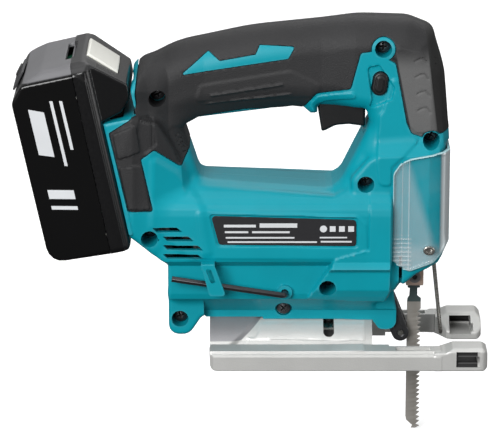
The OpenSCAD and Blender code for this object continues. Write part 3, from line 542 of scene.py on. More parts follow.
# the machined saddle, smoother and painted lighter as a painted reflection, behind a slanted front edge of
# the cast rear part, which is painted darker
SADDLE_ZONE = (side_plane((-93, 10.4), (-81, 20.5), 0.6), (-1.0, 0.0, 0.0, 25.6, 0.6),
               (0.0, 0.0, 1.0, 10.8, 0.6))
REAR_ZONE = (side_plane((-81, 20.5), (-93, 10.4), 0.6), (0.0, 0.0, 1.0, 10.8, 0.6))
# hollows of the two prongs, which see no light
NEAR_HOLLOW = ((1, 0, 0, 22.2, 0.2), (-1, 0, 0, -34.4, 0.2), (0, 1, 0, -37.6, 0.2),
               (0, -0.637, -0.770, 6.4, 0.2), (0, 0, -1, -11.6, 0.2), (0, 0, 1, 2.0, 0.2))
FAR_HOLLOW = ((1, 0, 0, 22.4, 0.2), (-1, 0, 0, -34.2, 0.2), (0, 0.637, -0.770, 6.4, 0.2),
              (0, -1, 0, -37.0, 0.2), (0, 0, -1, -11.6, 0.2), (0, 0, 1, 4.2, 0.2))
# cast aluminium; its zones paint a reflection onto the saddle, the rear part darker and shade into the
# prongs' hollows
CAST = material("cast_aluminium", (0.76, 0.76, 0.75), 0.46, metal=0.35, vary=0.05, bump=0.28,
                grain=1500, wear=0.3,
                zones=[(SADDLE_ZONE, (0.86, 0.86, 0.85), 0.34), (REAR_ZONE, (0.56, 0.56, 0.57), 0.5),
                       (NEAR_HOLLOW, (0.16, 0.16, 0.16), 0.7), (FAR_HOLLOW, (0.2, 0.2, 0.2), 0.7)])
STEEL = material("bright_steel", (0.72, 0.71, 0.69), 0.28, metal=1.0, vary=0.08, bump=0.05, grain=900,
                 brushed=(1, 1, 8))
DARK_STEEL = material("dark_steel", (0.27, 0.27, 0.28), 0.38, metal=0.8, vary=0.15, bump=0.10, grain=900,
                      wear=0.25)
BLADE = material("blade_steel", (0.60, 0.58, 0.55), 0.40, metal=0.5, vary=0.10, bump=0.12, grain=500,
                 brushed=(9, 1, 1), wear=0.2)
SHANK = material("blade_shank", (0.27, 0.33, 0.33), 0.45, metal=0.3, vary=0.12, bump=0.10)
BRONZE = material("holder_steel", (0.80, 0.70, 0.64), 0.38, metal=0.5, vary=0.10, bump=0.08, grain=900,
                  wear=0.3)
COPPER = material("copper", (0.72, 0.42, 0.26), 0.35, metal=0.9, vary=0.12, bump=0.2, brushed=(12, 1, 1))
LABEL = material("label_film", (0.12, 0.12, 0.13), 0.42, vary=0.05, bump=0.03)
PRINT = material("label_print", (0.80, 0.81, 0.82), 0.5, vary=0.05, bump=0.02)
WRAP = material("cell_wrap", (0.2, 0.5, 0.38), 0.4, vary=0.1, bump=0.05)
FERRITE = material("ferrite", (0.22, 0.22, 0.23), 0.6, vary=0.15, bump=0.3)

# looks of the CAD nodes that aren't bright steel
CAD_LOOKS = {node: look for look, nodes in (
    (DARK_STEEL, "housing_screws clamp_screw base_bolt"),
    (BLACK, "switch_body terminal_block cooling_fan"),
    (BRONZE, "battery_contacts terminal_blades slider_bushes"),
    (COPPER, "armature commutator"),
    (FERRITE, "motor_magnets carbon_brushes"),
    (LABEL, "rating_plate"), (WRAP, "battery_cells"), (CAST, "gear_case")) for node in nodes.split()}


def dress_cad():
    """Every CAD node gets a surface, whether or not a finer piece stands for it."""
    for node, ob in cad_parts.items():
        ob.data.materials.clear()
        ob.data.materials.append(CAD_LOOKS.get(node, STEEL))


# ------------------------------------------------------------------ housing and grips
class Housing:
    """Distance functions of the moulded body, shared by both halves and both rubber skins."""

    def __init__(self):
        self.frame = side_field(lambda u, v: np.maximum(outline(FRAME)(u, v), -outline(WINDOW)(u, v)))
        for name, fill in (("body", outline(BODY)), ("head", outline(HEAD)), ("foot", outline(FOOT)),
                           ("nose", outline(NOSE)), ("lobe", outline(LOBE)), ("accent", outline(ACCENT)),
                           ("grip", self.grip_region), ("vents", self.vent_region),
                           ("relief", self.relief_map), ("rubber_relief", self.rubber_map),
                           ("edge", self.edge_radius)):
            setattr(self, name, side_field(fill))
        for name, points in (("frame_plan", FRAME_PLAN), ("head_plan", HEAD_PLAN), ("foot_plan", FOOT_PLAN)):
            setattr(self, name, Field((-190, -2), (24, 64), outline(points)))
        for name, points in (("section", BODY_SECTION), ("neck", NECK_SECTION), ("tilt_room", TILT_SECTION)):
            setattr(self, name, Field((-2, 0), (64, 200), outline(points)))

    @staticmethod
    def edge_radius(u, v):
        """Rounding of the D-frame: nearly round along the handle, crisper on the pillars."""
        handle = ramp(v, 128, 142) * ramp(-u, 26, 44) * ramp(u, -154, -138)
        handle = np.maximum(handle, ramp(v, 158, 178) * ramp(u, -154, -138))
        front = ramp(u, -30, 0) * ramp(v, 118, 135)
        inner = ramp(-u, 16, 24) * ramp(v, 94, 102) * ramp(u, -134, -126)
        return 4.0 + 11.5 * handle + (5.0 * front + 4.0 * inner) * (1 - handle)

    @staticmethod
    def grip_region(u, v):
        d = outline(GRIP)(u, v)
        return less(d, from_point(u, v, SCREWS[1]) - 6.3, from_point(u, v, SCREWS[2]) - 5.3)

    @staticmethod
    def vent_region(u, v):
        """Four slanted cooling slots with ends that step along the body."""
        best = np.full(u.shape, 99.0)
        for i, (x0, x1) in enumerate(((-139.5, -124.5), (-134, -118.5), (-134, -113.5), (-134, -113.5))):
            z = 77.6 - 5 * i
            bar = [(x0 + 2.4, z - 1.3), (x1 + 1.2, z - 1.3), (x1 - 2.0, z + 1.3), (x0, z + 1.3)]
            best = np.minimum(best, polygon_distance(u, v, bar))
        return best

    @staticmethod
    def relief_map(u, v):
        """Raised and sunk areas of the teal moulding, in millimetres outwards."""
        def area(points, height, soft=0.7):
            return height * ramp(-polygon_distance(u, v, points), -soft, soft)
        h = np.zeros(u.shape)
        # field round the rating plate, with sloping ends
        h += area([(-116, 88.2, 2), (-113.5, 61, 2), (-44, 60.4, 1), (-25.2, 65.6, 1),
                   (-25.6, 80.5, 2), (-30.5, 85.2, 3)], 0.5, 0.7)
        # plate bed
        h -= area([(-109.3, 85.9, 1.5), (-105, 68.3, 1.5), (-30.3, 67.5, 1.5), (-30.4, 83.9, 1.5)], 0.9, 0.45)
        # corner block beside the nose, one face that runs on up into the front pillar
        fill = np.interp(v, (34, 36.5, 40, 43.5, 56, 59.5, 62), (1.0, 1.6, 2.8, 4.6, 5.0, 1.4, 1.1))
        block = [(-57.5, 37.2, 1), (-15.8, 34.2, 1), (-12.6, 42, 1), (-12.5, 60, 1), (-12.5, 104, 1),
                 (-24, 104, 1), (-24, 66.4, 1), (-42.4, 61, 1), (-44.4, 57.2, 2)]
        h += fill * ramp(-polygon_distance(u, v, block), -0.5, 0.5) * (1 - ramp(v, 76, 104))
        # crease up the rear of the body, a light facet above the vents
        h += area([(-139.5, 118, 2), (-126, 108, 4), (-112.5, 90, 3), (-108, 64, 2), (-118, 60, 2),
                   (-140.5, 79, 2)], 0.9, 2.2)
        # front pillar: flat facet bounded by a crease
        h += area([(-19, 137, 2), (-20.5, 112, 3), (-19, 100, 3), (-12.6, 100, 2), (-12.6, 110, 3),
                   (2, 123.5, 2), (-4, 131, 2), (-11, 164, 2), (-17, 140, 1)], 0.8, 0.8)
        # five-sided recess round the lock button
        h -= area([(-25.6, 163, 2), (-19.5, 164.5, 1), (-11.2, 152.5, 2), (-12.5, 146, 2), (-24.5, 140.4, 1),
                   (-23, 146, 2)], 1.3, 0.45)
        # drip guard over the trigger
        h += area([(-57.5, 138, 1.5), (-55, 143, 2), (-51.5, 146.8, 2), (-33, 149.8, 2), (-31, 146.4, 2),
                   (-48, 143.4, 3), (-52, 139.6, 2), (-53, 134, 1), (-57.5, 134, 1)], 0.8, 0.6)
        # rim beside the battery
        h += area([(-166, 136, 1), (-155, 75, 1), (-149.6, 75, 1), (-159.8, 131.6, 1), (-150, 138.2, 3),
                   (-146.2, 145.5, 4), (-147, 156, 2), (-144.6, 166, 1), (-150, 170, 1),
                   (-152, 141, 3)], 0.7, 0.4)
        return h

    @staticmethod
    def rubber_map(u, v):
        """Ridges, pads and chevrons of the rubber."""
        def area(points, height, soft=0.6):
            return height * ramp(-polygon_distance(u, v, points), -soft, soft)

        def line(x0, z0, x1, z1, width, height):
            ex, ez = x1 - x0, z1 - z0
            t = np.clip(((u - x0) * ex + (v - z0) * ez) / (ex * ex + ez * ez), 0, 1)
            return height * ramp(-np.hypot(u - x0 - t * ex, v - z0 - t * ez), -width, 0)
        h = np.zeros(u.shape)
        h += line(-107.7, 147.5, -70.7, 153.5, 1.1, 0.7) + line(-110.9, 142.8, -66.4, 148.2, 1.1, 0.7)
        h += area([(-117, 143.8, 2), (-114, 153, 3), (-66, 161, 4), (-47.5, 152, 3),
                   (-55, 146.4, 2)], 0.5, 0.8)
        # rear pad in two steps beside a sunk strip
        h += area([(-159.8, 130.4, 1), (-157.3, 117, 1), (-145.6, 121, 1), (-147.6, 136, 1)], 0.9, 0.35)
        h += area([(-156.6, 112.6, 1), (-152, 89.5, 1), (-140.5, 89, 1), (-144.6, 113.8, 1)], 0.9, 0.35)
        h -= area([(-145.9, 138.5, 1), (-147, 131, 1), (-144, 119, 1), (-138.8, 122.5, 1), (-136.6, 124, 2),
                   (-139, 139, 3)], 0.6, 0.6)
        h -= area([(-131.5, 131, 3), (-125.2, 111.8, 1), (-119.5, 118, 1), (-123.5, 130, 2)], 0.4, 1.0)
        # raised front panel, where the material paints a sheen, with four small scales
        h += area([(-15.5, 170, 2), (-9.8, 167, 2), (-2.5, 131, 2), (0.5, 127.6, 2), (11.6, 128, 1),
                   (7.2, 165, 2), (3, 172, 4), (-9, 175, 2)], 0.7, 0.7)
        for x, z in ((3.7, 168.4), (4.3, 159.9), (5.2, 150.6), (5.7, 141.6)):
            h -= line(x - 4.4, z - 1.7, x - 1.8, z - 0.2, 0.8, 0.7) + line(x - 1.8, z - 0.2, x, z, 0.8, 0.4)
            h -= line(x, z, x + 2.1, z - 2.6, 0.8, 0.7)
        return h

    def raw(self, p):
        """Smooth outer form before any detail."""
        x, y, z = p.T
        ay = np.abs(y)
        r = self.edge(x, z)
        frame_part = rounded_max(self.frame(x, z), self.frame_plan(x, ay), r)
        limit = np.where(x > -108, self.neck(ay, z), -10)
        frame_part = soft_max(frame_part, limit, 1.0)
        body = rounded_max(self.body(x, z), self.section(ay, z), 1.6)
        head = rounded_max(self.head(x, z), self.head_plan(x, ay), 3.0 + 4.0 * ramp(z, 112, 119))
        foot = rounded_max(self.foot(x, z), self.foot_plan(x, ay), 2.0)
        nose = rounded_max(self.nose(x, z), ay - NOSE_HALF, 1.5)
        lobe = rounded_max(self.lobe(x, z), ay - LOBE_HALF, 2.0)
        d = soft_min(soft_min(frame_part, body, 5.0), foot, 4.0)
        d = soft_min(d, head, 2.0 + 4.0 * ramp(z, 113, 119))
        d = soft_min(soft_min(d, nose, 1.5), lobe, 2.0)
        return np.maximum(d, np.minimum(self.tilt_room(ay, z), x - LOBE_FRONT))

    def openings(self, p):
        """Everything that is cut through the moulding, negative where it is open."""
        x, y, z = p.T
        q = to_pack(p)
        axis = np.hypot(y, z)
        battery = joined(box(q, (-30, -60, -40), (-0.05, 60, 140)), box(q, (-1, -22.4, 3), (3.1, 22.4, 62)),
                         box(q, (3, -26, 3), (10.5, 26, 62)), box(q, (-1, -45, 60.6), (17.4, 45, 130)))
        saddle = joined(common(axis - SADDLE_R - 0.3, -111 - x, x + 20.9),
                        common(axis - SADDLE_R - 1.9, -111 - x, x + 80.6),
                        np.maximum(np.hypot(x - BOLT_X, y) - 2.6, z - 33))
        arm = joined(box(p, (-19, -6.4, 0), (30, 6.4, 30)),
                     np.maximum(from_point(x, z, ARM_PIVOT) - 5.4, np.abs(y) - 6.4))
        trigger = joined(box(p, (-53, -8.4, 124), (-25.6, 8.4, 153)),
                         box(p, (-43.6, -3.6, 150), (-34.4, 3.6, 157.2)))
        slider = joined(common(np.hypot(x - BLADE_X, y) - np.where(z < 60, 7.6, SLIDER_R), z - SLIDER_ROOM),
                        box(p, (BLADE_X - 6, -8.4, 30), (30, 8.4, 52.5)))
        wire = np.hypot(x - GUARD_FOOT[0] + (z - GUARD_FOOT[1]) * GUARD_LEAN, np.abs(y) - GUARD_HALF)
        # upright groove between the corner block and the head
        groove = box(mirrored(p), (-8.0, 21.5, 40), (-6.2, 60, 61))
        lever = from_point(x, z, LEVER_AT) + np.where(y > 20, -2.2, 9)
        return joined(battery, saddle, arm, trigger, lock_pill(x, z) - 4.3, slider,
                      np.maximum(wire - 1.1, z - 59), np.maximum(self.vents(x, z), 20 - np.abs(y)), groove,
                      lever)

    def wells(self, p, sign):
        """Screw holes from the right-hand side: the well, its floor and the solid round it."""
        x, y, z = p.T
        hole = np.full(len(p), 99.0)
        post = np.full(len(p), 99.0)
        for sx, sz, depth in SCREWS:
            r = from_point(x, z, (sx, sz))
            column = 3.2 if sx > 0 else 4.4
            if sign < 0:
                hole = joined(hole, np.maximum(r - WELL_R, y + depth - 2), r - 2.1)
                post = joined(post, np.maximum(r - 6.2, y + depth - 4), np.maximum(r - column, y))
            else:
                hole = np.minimum(hole, np.maximum(r - 1.95, y - depth))
                post = np.minimum(post, r - column)
        return hole, post

    def teal(self, p, sign):
        x, y, z = p.T
        raw = self.raw(p)
        far = ramp(np.abs(y), 9, 13)
        outer = raw - self.relief(x, z) * far
        grip = self.grip(x, z)
        accent = np.maximum(self.accent(x, z), 6 - np.abs(y))
        low = np.maximum(np.maximum(grip - 0.15, -accent), -(raw + 1.3))
        outer = np.maximum(outer, -low)
        inner = raw + WALL
        hole, post = self.wells(p, sign)
        if sign < 0:
            # the rubber lines the rear grip's well
            hole = np.minimum(hole, np.maximum(from_point(x, z, SCREWS[0]) - 5.8, y + 7.6))
        d = less(outer, np.maximum(inner, -post), hole, self.openings(p))
        if sign < 0:
            ring = from_point(x, z, KEY_AT)
            boss = np.maximum(ring - 4.0, np.abs(y + 27.4) - 1.2)
            clip = np.maximum(self.clip_tab(x, z), np.abs(y + 36.6) - 1.0)
            d = joined(soft_min(d, boss, 0.6), clip, self.clip_root(x, y, z))
            d = less(d, np.maximum(ring - 1.95, y + 21))
        return np.maximum(d, sign * -y + SEAM)

    @staticmethod
    def clip_tab(x, z):
        """Slanted bar with a slot that holds the hexagon key down, seen from the side."""
        bar = polygon_distance(x, z, [(-113.6, 59.8, 1.5), (-106.6, 59.8, 1.5), (-100.4, 42.4, 1.5),
                                      (-109.2, 42.4, 1.5)])
        slot = polygon_distance(x, z, [(-111.2, 57.6, 1), (-108.6, 57.6, 1), (-105.6, 49.6, 1),
                                       (-108.4, 49.6, 1)])
        return less(bar, slot)

    @staticmethod
    def clip_root(x, y, z):
        """Upper end of the clip bar that reaches back to the body."""
        return common(np.abs(x + 110.0) - 3.6, np.abs(z - 58.4) - 1.6, np.abs(y + 31) - 6.4)

    def rubber(self, p, sign):
        x, y, z = p.T
        raw = self.raw(p)
        far = ramp(np.abs(y), 9, 13)
        skin = raw - 0.25 - self.rubber_relief(x, z) * far
        accent = np.maximum(self.accent(x, z), 6 - np.abs(y))
        region = np.maximum(self.grip(x, z) + 0.25, -(accent - 0.3))
        d = less(rounded_max(skin, region, 0.5), raw + 1.2)
        if sign < 0:
            d = np.minimum(d, common(from_point(x, z, SCREWS[0]) - 5.7, y + 7.7, raw + 0.3))
        d = less(d, *(from_point(x, z, screw) - WELL_R for screw in SCREWS), self.openings(p))
        return np.maximum(d, sign * -y + SEAM)


def build_housing():
    h = Housing()
    rear, front, half, foot, grip_foot, top = -167, 21.5, 38.6, 12, 84, 190
    for sign, name in SIDES:
        y0, y1 = sorted((0, sign * half))
        solid("shell_" + name, lambda p: h.teal(p, sign), (rear, y0, foot), (front, y1, top), CELL,
              "tool_body", TEAL, "teal_plastic", "housing_" + name)
        solid("rubber_" + name, lambda p: h.rubber(p, sign), (rear, y0, grip_foot), (front, y1, top), CELL,
              "tool_body", RUBBER, "rubber_grip", "grip_" + name)


# ------------------------------------------------------------------ battery, in its own frame
CASE = [(-PACK_D, -7.2, 9), (-6, -9.6, 1), (2, 95.9, 0.5), (-26, 95.2, 6), (-37, 91.4, 5), (-PACK_D, 82.6, 6)]
NOSE_CAP = [(-14, -9.4, 1), (-0.3, -9.6, 4), (-0.3, 62, 1), (10, 64, 2.5), (16.4, 70.5, 4), (16.8, 77.8, 3),
            (-3.4, 96.8, 3), (-14, 96.4, 1)]
CASE_SECTION = [(-40, -9.8), (35.5, -9.8), (37.5, -6.6), (37.5, 91.2), (36.6, 92.2), (34.4, 94.1),
                (30.6, 96.2), (-40, 96.6)]
NOSE_PLAN = [(-14, 37.5), (-3.6, 37.5), (-1.8, 35.8), (-0.3, 33.6), (4, 32), (17, 27.5), (17, -40),
             (-14, -40)]
BUTTON_AT, BUTTON_LEAN = (6.2, 87.9), math.radians(45)
GAUGE_AT, GAUGE_LEAN = (3.1 - PACK_D, 88.6), math.radians(39)
BUTTON_WELL = ((-13.5, -17.4, 93), (-8, 17.4, 110))


def parting(x, z):
    """Distance in front of the joint between the battery's two shells."""
    return x - (-11.4 + 0.015 * z)


def panel_step(x, y, z):
    """How far the surface lies back beside the raised side panel with its rounded upper corner."""
    outside = rounded_max(x + 3.9, z - 90.6, 6.0)
    return 0.85 * ramp(outside, -0.9, 0.9) * ramp(np.abs(y), 34, 36.5)


def along_axes(q, at, lean):
    """Points of the battery frame in the axes of a part that leans about a point."""
    x, z = leaning(q[:, 0], q[:, 2], at, lean)
    return np.stack([x, q[:, 1], z], 1)


def battery_form(q, outline_pts, plan=None):
    x, y, z = q.T
    ay = np.abs(y)
    d = rounded_max(polygon_distance(x, z, outline_pts), polygon_distance(ay, z, CASE_SECTION), 1.6)
    if plan:
        d = rounded_max(d, polygon_distance(x, ay, plan), 1.2)
    return d


def battery_case(p):
    q = to_pack(p)
    x, y, z = q.T
    g = along_axes(q, GAUGE_AT, GAUGE_LEAN)
    form = battery_form(q, CASE)
    d = np.maximum(form + panel_step(x, y, z), parting(x, z) + 0.1)
    return less(d, box(q, *BUTTON_WELL), box(g, (-9, -14.7, -6), (0.8, 14.7, 6)),
                box(g, (-9, 5.8, -3.2), (2.2, 12.2, 3.2)), np.maximum(form + 2.2, parting(x, z) + 1))


def battery_cover(p):
    q = to_pack(p)
    x, y, z = q.T
    form = battery_form(q, NOSE_CAP, NOSE_PLAN)
    d = np.maximum(form + panel_step(x, y, z), -parting(x, z) + 0.1)
    d = joined(d, box(q, (-3, -22, 6), (3.5, 22, 60)), box(q, (3.4, -25.4, 6), (9.5, 25.4, 60)))
    button = along_axes(q, BUTTON_AT, BUTTON_LEAN)
    slots = box(mirrored(q), (-2.7, 10, -20), (12, 14, 45))
    inner = np.maximum(battery_form(q, NOSE_CAP) + 6.5, x + 2.6)
    return less(d, box(button, (-11.4, -17.4, -7.4), (8.4, 17.4, 30)), box(q, *BUTTON_WELL), slots, inner)


def battery_button(p):
    b = along_axes(to_pack(p), BUTTON_AT, BUTTON_LEAN)
    x, y, z = b.T
    crown = 0.5 * (1 - (y / 17) ** 2)
    d = rounded_max(np.maximum(np.abs(x + 1.5) - 9.5, np.abs(y) - 17), np.abs(z + 1.4) - 2.2 - crown, 1.0)
    return less(d, box(b, (-9, -15, -5), (6, 15, -1.6)))


def gauge_cap(p):
    g = along_axes(to_pack(p), GAUGE_AT, GAUGE_LEAN)
    dish = 0.25 * ramp(-np.hypot(g[:, 1] - 9, g[:, 2]), -2.4, 0)
    return box(g, (-0.6, 6.4, -2.6), (0.9, 11.6, 2.6)) - 0.4 + dish


def gauge_plate(p):
    g = along_axes(to_pack(p), GAUGE_AT, GAUGE_LEAN)
    d = less(box(g, (0.2, -14.0, -5.2), (0.7, 14.0, 5.2)) - 0.3, box(g, (-2, 5.6, -3.4), (2, 12.4, 3.4)))
    return less(d, *(np.hypot(g[:, 1] + 10 - 3.6 * k, g[:, 2]) - 1.0 for k in range(4)))


def prism_faces(n, count):
    """Top and sides of a prism whose two rings of count vertices start at vertex n."""
    sides = [[n + i, n + (i + 1) % count, n + count + (i + 1) % count, n + count + i] for i in range(count)]
    return [[n + count + i for i in range(count)]] + sides


def build_battery():
    solid("battery_lower_shell", battery_case, (-214, -38.2, 58.5), (-145, 38.2, 178), CELL, "battery_body",
          GLOSS, "gloss_black", "battery_case", sharp=55)
    solid("battery_upper_shell", battery_cover, (-186, -38.2, 58.5), (-137, 38.2, 179), CELL, "battery_body",
          GREY_GLOSS, "gloss_black", "battery_cover", sharp=55)
    solid("release_button", battery_button, (-190, -18, 148), (-150, 18, 182), FINE, "release_body", WHITE,
          "white_plastic", "battery_button")
    solid("gauge_plate", gauge_plate, (-218, -15.5, 150), (-200, 15.5, 172), FINE, "battery_body", GREY_SHELL,
          "label", "battery_gauge")
    solid("gauge_cap", gauge_cap, (-218, 5, 150), (-200, 13, 172), FINE, "gauge_button_body", BLACK,
          "black_plastic", "gauge_button")
    # plain bars where a maker would print, in the battery's side view
    bars = [((-36.4, 52.6), (-28.6, 49.8), (-28.6, 74.6), (-36.4, 77.8)),
            ((-24.5, 44), (-22.9, 43.6), (-22.9, 79.6), (-24.5, 80)),
            ((-19.5, 52), (-17.9, 51.6), (-17.9, 78.6), (-19.5, 79)),
            ((-36.4, 22), (-22.9, 19), (-22.9, 21), (-36.4, 24)),
            ((-36.4, 28), (-22.9, 25), (-22.9, 30), (-36.4, 33))]
    for side, _ in SIDES:
        verts, faces = [], []
        for bar in bars:
            faces += prism_faces(len(verts), len(bar))
            for y in (37.42, 37.6):
                for bx, bz in bar:
                    wx, wz = from_pack(bx, bz)
                    verts.append((wx, side * y, wz))
        piece(mesh_object("label", verts, faces), "battery_body", PRINT, "label")


# ------------------------------------------------------------------ cast base
BASE_REAR, BASE_HALF = -109.4, 38.5
RAIL = [(19.5, 0, 0.3), (38.5, 0, 1.2), (38.5, 8.3, 0.6), (37.3, 9.6, 0.4), (36.5, 8.5, 0.3),
        (35.9, 8.5, 0.3), (35.3, 10.6, 0.4), (24, 10.6, 0.6), (20.6, 7.2, 0.6), (19.5, 7.2, 0.2)]
RAIL_SIDE = [(BASE_REAR, 0, 4.5), (26, 0, 1), (26, 20, 1), (BASE_REAR, 20, 1.5)]
PRONG_PLAN = [(11, 26.6), (15, 24.4), (20.5, 15.4), (24, 14), (37, 14), (40.2, 17.4), (40.2, 35.6),
              (37.2, 38.5), (11, 38.5)]
PRONG_SIDE = [(11, 0, 0.3), (38.2, 0, 1), (39.8, 1.8, 1), (39.8, 10.2, 2), (36.8, 13, 2), (21.4, 13, 2),
              (17.4, 10.4, 2), (11, 10.3, 0.3)]
PRONG_FRONT = [(14, 0, 1), (38.5, 0, 1), (38.5, 11, 0.8), (36.2, 13.1, 1), (25, 13.1, 2), (14, 4.0, 2)]


def base_casting(p):
    x, y, z = p.T
    ay = np.abs(y)
    both = mirrored(p)
    rails = common(polygon_distance(ay, z, RAIL), BASE_REAR - x, x - 15)
    rails = rounded_max(rails, polygon_distance(x, z, RAIL_SIDE), 0.8)
    # chamfered rear corners
    rails = np.maximum(rails, (ay - BASE_HALF - (x - BASE_REAR) + 2.2) / 1.414)
    prong = rounded_max(polygon_distance(x, ay, PRONG_PLAN), polygon_distance(x, z, PRONG_SIDE), 1.0)
    prong = rounded_max(prong, polygon_distance(ay, z, PRONG_FRONT), 0.8)
    window = box(p, (23.2, -60, 2.7), (35.3, -36.9, 10.7)) - 0.3
    well = box(both, (22.6, 10, 3.4), (33.8, 33.4, 10.9)) - 0.3
    prong = less(prong, window, well, box(p, (23.2, -60, 4.6), (35.3, 36, 8.0)))
    r = np.hypot(y, z)
    rear = ramp((z - 10.4) * 1.19 - x - 93, -0.5, 5.0)
    arch = common(r - SADDLE_R - 1.6 * rear, SADDLE_R - 3.6 - r, BASE_REAR - x, x + 21.5)
    d = soft_min(soft_min(rails, prong, 0.8), np.maximum(arch, -z), 1.2)
    # sunk field on the flank, ending in a point towards the rear
    tip = polygon_distance(x, z, [(-93, 11.4, 0.5), (-84, 12.4, 3), (-80, 21.5, 1), (-26, 21.5, 0.5),
                                  (-26, 10.6, 0.5)])
    d = np.where((ay > 8) & (z > 9), d - 0.35 * ramp(-tip, -0.4, 0.4) * ramp(ay, 9, 12), d)
    bar = less(box(p, (-109.2, -19, 0), (-100, 19, 4)), box(p, (-112, -6, -1), (-96, 6, 2)))
    # bolt slot round the saddle with rounded ends
    beyond = np.maximum(np.arctan2(ay, z) - math.radians(46), 0) * SADDLE_R
    slot = np.maximum(np.hypot(x - BOLT_X, beyond) - 2.9, 8 - z)
    blade_room = joined(box(p, (-21.5, -20.8, -1), (14, 20.8, 30)),
                        box(p, (-12, -25.9, -1), (14, 25.9, 30)) - 0.8)
    # cast pockets on the rail tops beside the blade, and a notch
    pocket = box(both, (-9, 28.8, 9.4), (9, 33.5, 12)) - 0.4
    notch = box(both, (-15, 19, 5.2), (-12.6, 22.4, 12))
    return np.maximum(less(np.minimum(d, bar), slot, blade_room, pocket, notch), -z)


def build_base():
    solid("base_casting", base_casting, (-110, -39, -1), (40.5, 39, 23.5), 0.65,
          "base_body", CAST, "cast_aluminium", "base", sharp=30)


# ------------------------------------------------------------------ clear cover
COVER = [(-11.6, 59, 2), (-8, 55.6, 2.5), (-2.6, 52.5, 3), (10.5, 57.4, 3), (15, 62, 4), (19, 68, 3),
         (19, 119, 0.6), (12, 117.9, 3), (-2.4, 115.2, 5), (-7.7, 112.7, 4), (-11.6, 107, 5)]
RIVET_AT = (7.9, 64.6)
COVER_OUT = [(-40, 27.1), (9.6, 27.1), (16, 23.9), (19.1, 18.4), (19.1, -40), (-40, -40)]
COVER_IN = [(-40, 25.5), (9, 25.5), (14.7, 22.8), (17.4, 17.6), (17.4, -40), (-40, -40)]


def cover_shell(p):
    x, y, z = p.T
    ay = np.abs(y)
    outer = polygon_distance(x, ay, COVER_OUT)
    inner = polygon_distance(x, ay, COVER_IN)
    shape = polygon_distance(x, z, COVER)
    d = rounded_max(shape, outer, 0.7)
    # rim bead along the edge, upright channel and the grip ribs
    side = ramp(ay, 23, 25)
    bead = 0.45 * ramp(-np.abs(shape + 1.3), -1.2, 0) * side
    channel = 0.7 * ramp(-np.abs(x + 6.6), -0.7, 0) * side
    rib = ramp(-np.abs((z % RIB_PITCH) - RIB_PITCH / 2), -0.5, 0)
    ribs = 0.5 * rib * ramp(-z, -73, -71.5) * ramp(-x, 2.5, 4) * side
    d = d - bead + channel * 0.8 - ribs
    return np.maximum(d, -inner)


def rivet_shape(p):
    """Pressed rivet with a hollow middle, the same on both sides of the cover."""
    x, y, z = p.T
    r = np.hypot((x - RIVET_AT[0]) / 1.25, z - RIVET_AT[1])
    d = rounded_max(r - 2.5, np.abs(np.abs(y) - 27.0) - 1.0, 0.5)
    return d + 0.8 * ramp(-r, -1.4, -0.8) * ramp(np.abs(y), 27, 27.6)


def build_cover():
    ob = solid("dust_cover_shell", cover_shell, (-12, -28, 51), (20, 28, 121.5), 0.5,
               "cover_body", CLEAR, "clear_cover", "dust_cover", sharp=35)
    # faces along the cover's outline take the edge material, a painted highlight
    ob.data.materials.append(CLEAR_EDGE)
    centres = np.empty(3 * len(ob.data.polygons), dtype=np.float32)
    ob.data.polygons.foreach_get("center", centres)
    x, _, z = centres.reshape(-1, 3).T / MM
    edge = polygon_distance(x, z, COVER) > -0.5
    ob.data.polygons.foreach_set("material_index", edge.astype(np.int32))
    for side, name in SIDES:
        lo, hi = sorted((side * 25.8, side * 28.2))
        solid("cover_rivet_" + name, rivet_shape, (4.4, lo, 61.8), (11.4, hi, 67.4), FINE, "cover_body",
              STEEL, "bright_steel")


# ------------------------------------------------------------------ small pieces
def sweep(name, path, section):
    """Tube of a given section along a path; the section is a list of (sideways, up) offsets."""
    path = [np.array(p, float) for p in path]
    verts, faces = [], []
    n = len(section)
    up = np.array([0.0, 1.0, 0.0])
    for i, p in enumerate(path):
        t = path[min(i + 1, len(path) - 1)] - path[max(i - 1, 0)]
        t /= np.linalg.norm(t)
        if abs(t @ up) > 0.95 and i == 0:
            up = np.array([1.0, 0.0, 0.0])
        side = np.cross(t, up)
        side /= np.linalg.norm(side)
        up = np.cross(side, t)
        for a, b in section:
            verts.append(p + side * a + up * b)
    for i in range(len(path) - 1):
        for k in range(n):
            a, b = i * n + k, i * n + (k + 1) % n
            faces.append([a, b, b + n, a + n])
    faces += [list(range(n - 1, -1, -1)), list(range(len(verts) - n, len(verts)))]
    return mesh_object(name, verts, faces, sharp=30)


def disc(r, n, turn=0):
    angles = [turn + 2 * math.pi * k / n for k in range(n)]
    return [(r * math.cos(a), r * math.sin(a)) for a in angles]


def arc(centre, a, b, r, steps):
    """Points of a quarter circle about a centre from direction a to direction b."""
    a, b = np.array(a, float), np.array(b, float)
    turns = np.linspace(0, math.pi / 2, steps)
    return [np.array(centre) + r * (a * math.cos(t) + b * math.sin(t)) for t in turns]


def build_guard():
    """Bent wire in front of the blade, its foot a little behind the line of its bores."""
    top, r = 57.6, 2.5
    foot, bottom, half = GUARD_FOOT[0] - 0.9, GUARD_FOOT[1], GUARD_HALF
    head = foot - (top - bottom) * GUARD_LEAN
    path = [(head, -half, top), (foot - r * GUARD_LEAN, -half, bottom + r)]
    path += arc((foot, -half + r, bottom + r), (0, -1, 0), (0, 0, -1), r, 7)[1:]
    path += arc((foot, half - r, bottom + r), (0, 0, -1), (0, 1, 0), r, 7)
    path += [(head, half, top)]
    ob = sweep("guard_wire_bent", path, disc(1.0, 14))
    piece(ob, "tool_body", STEEL, "bright_steel", "guard_wire")


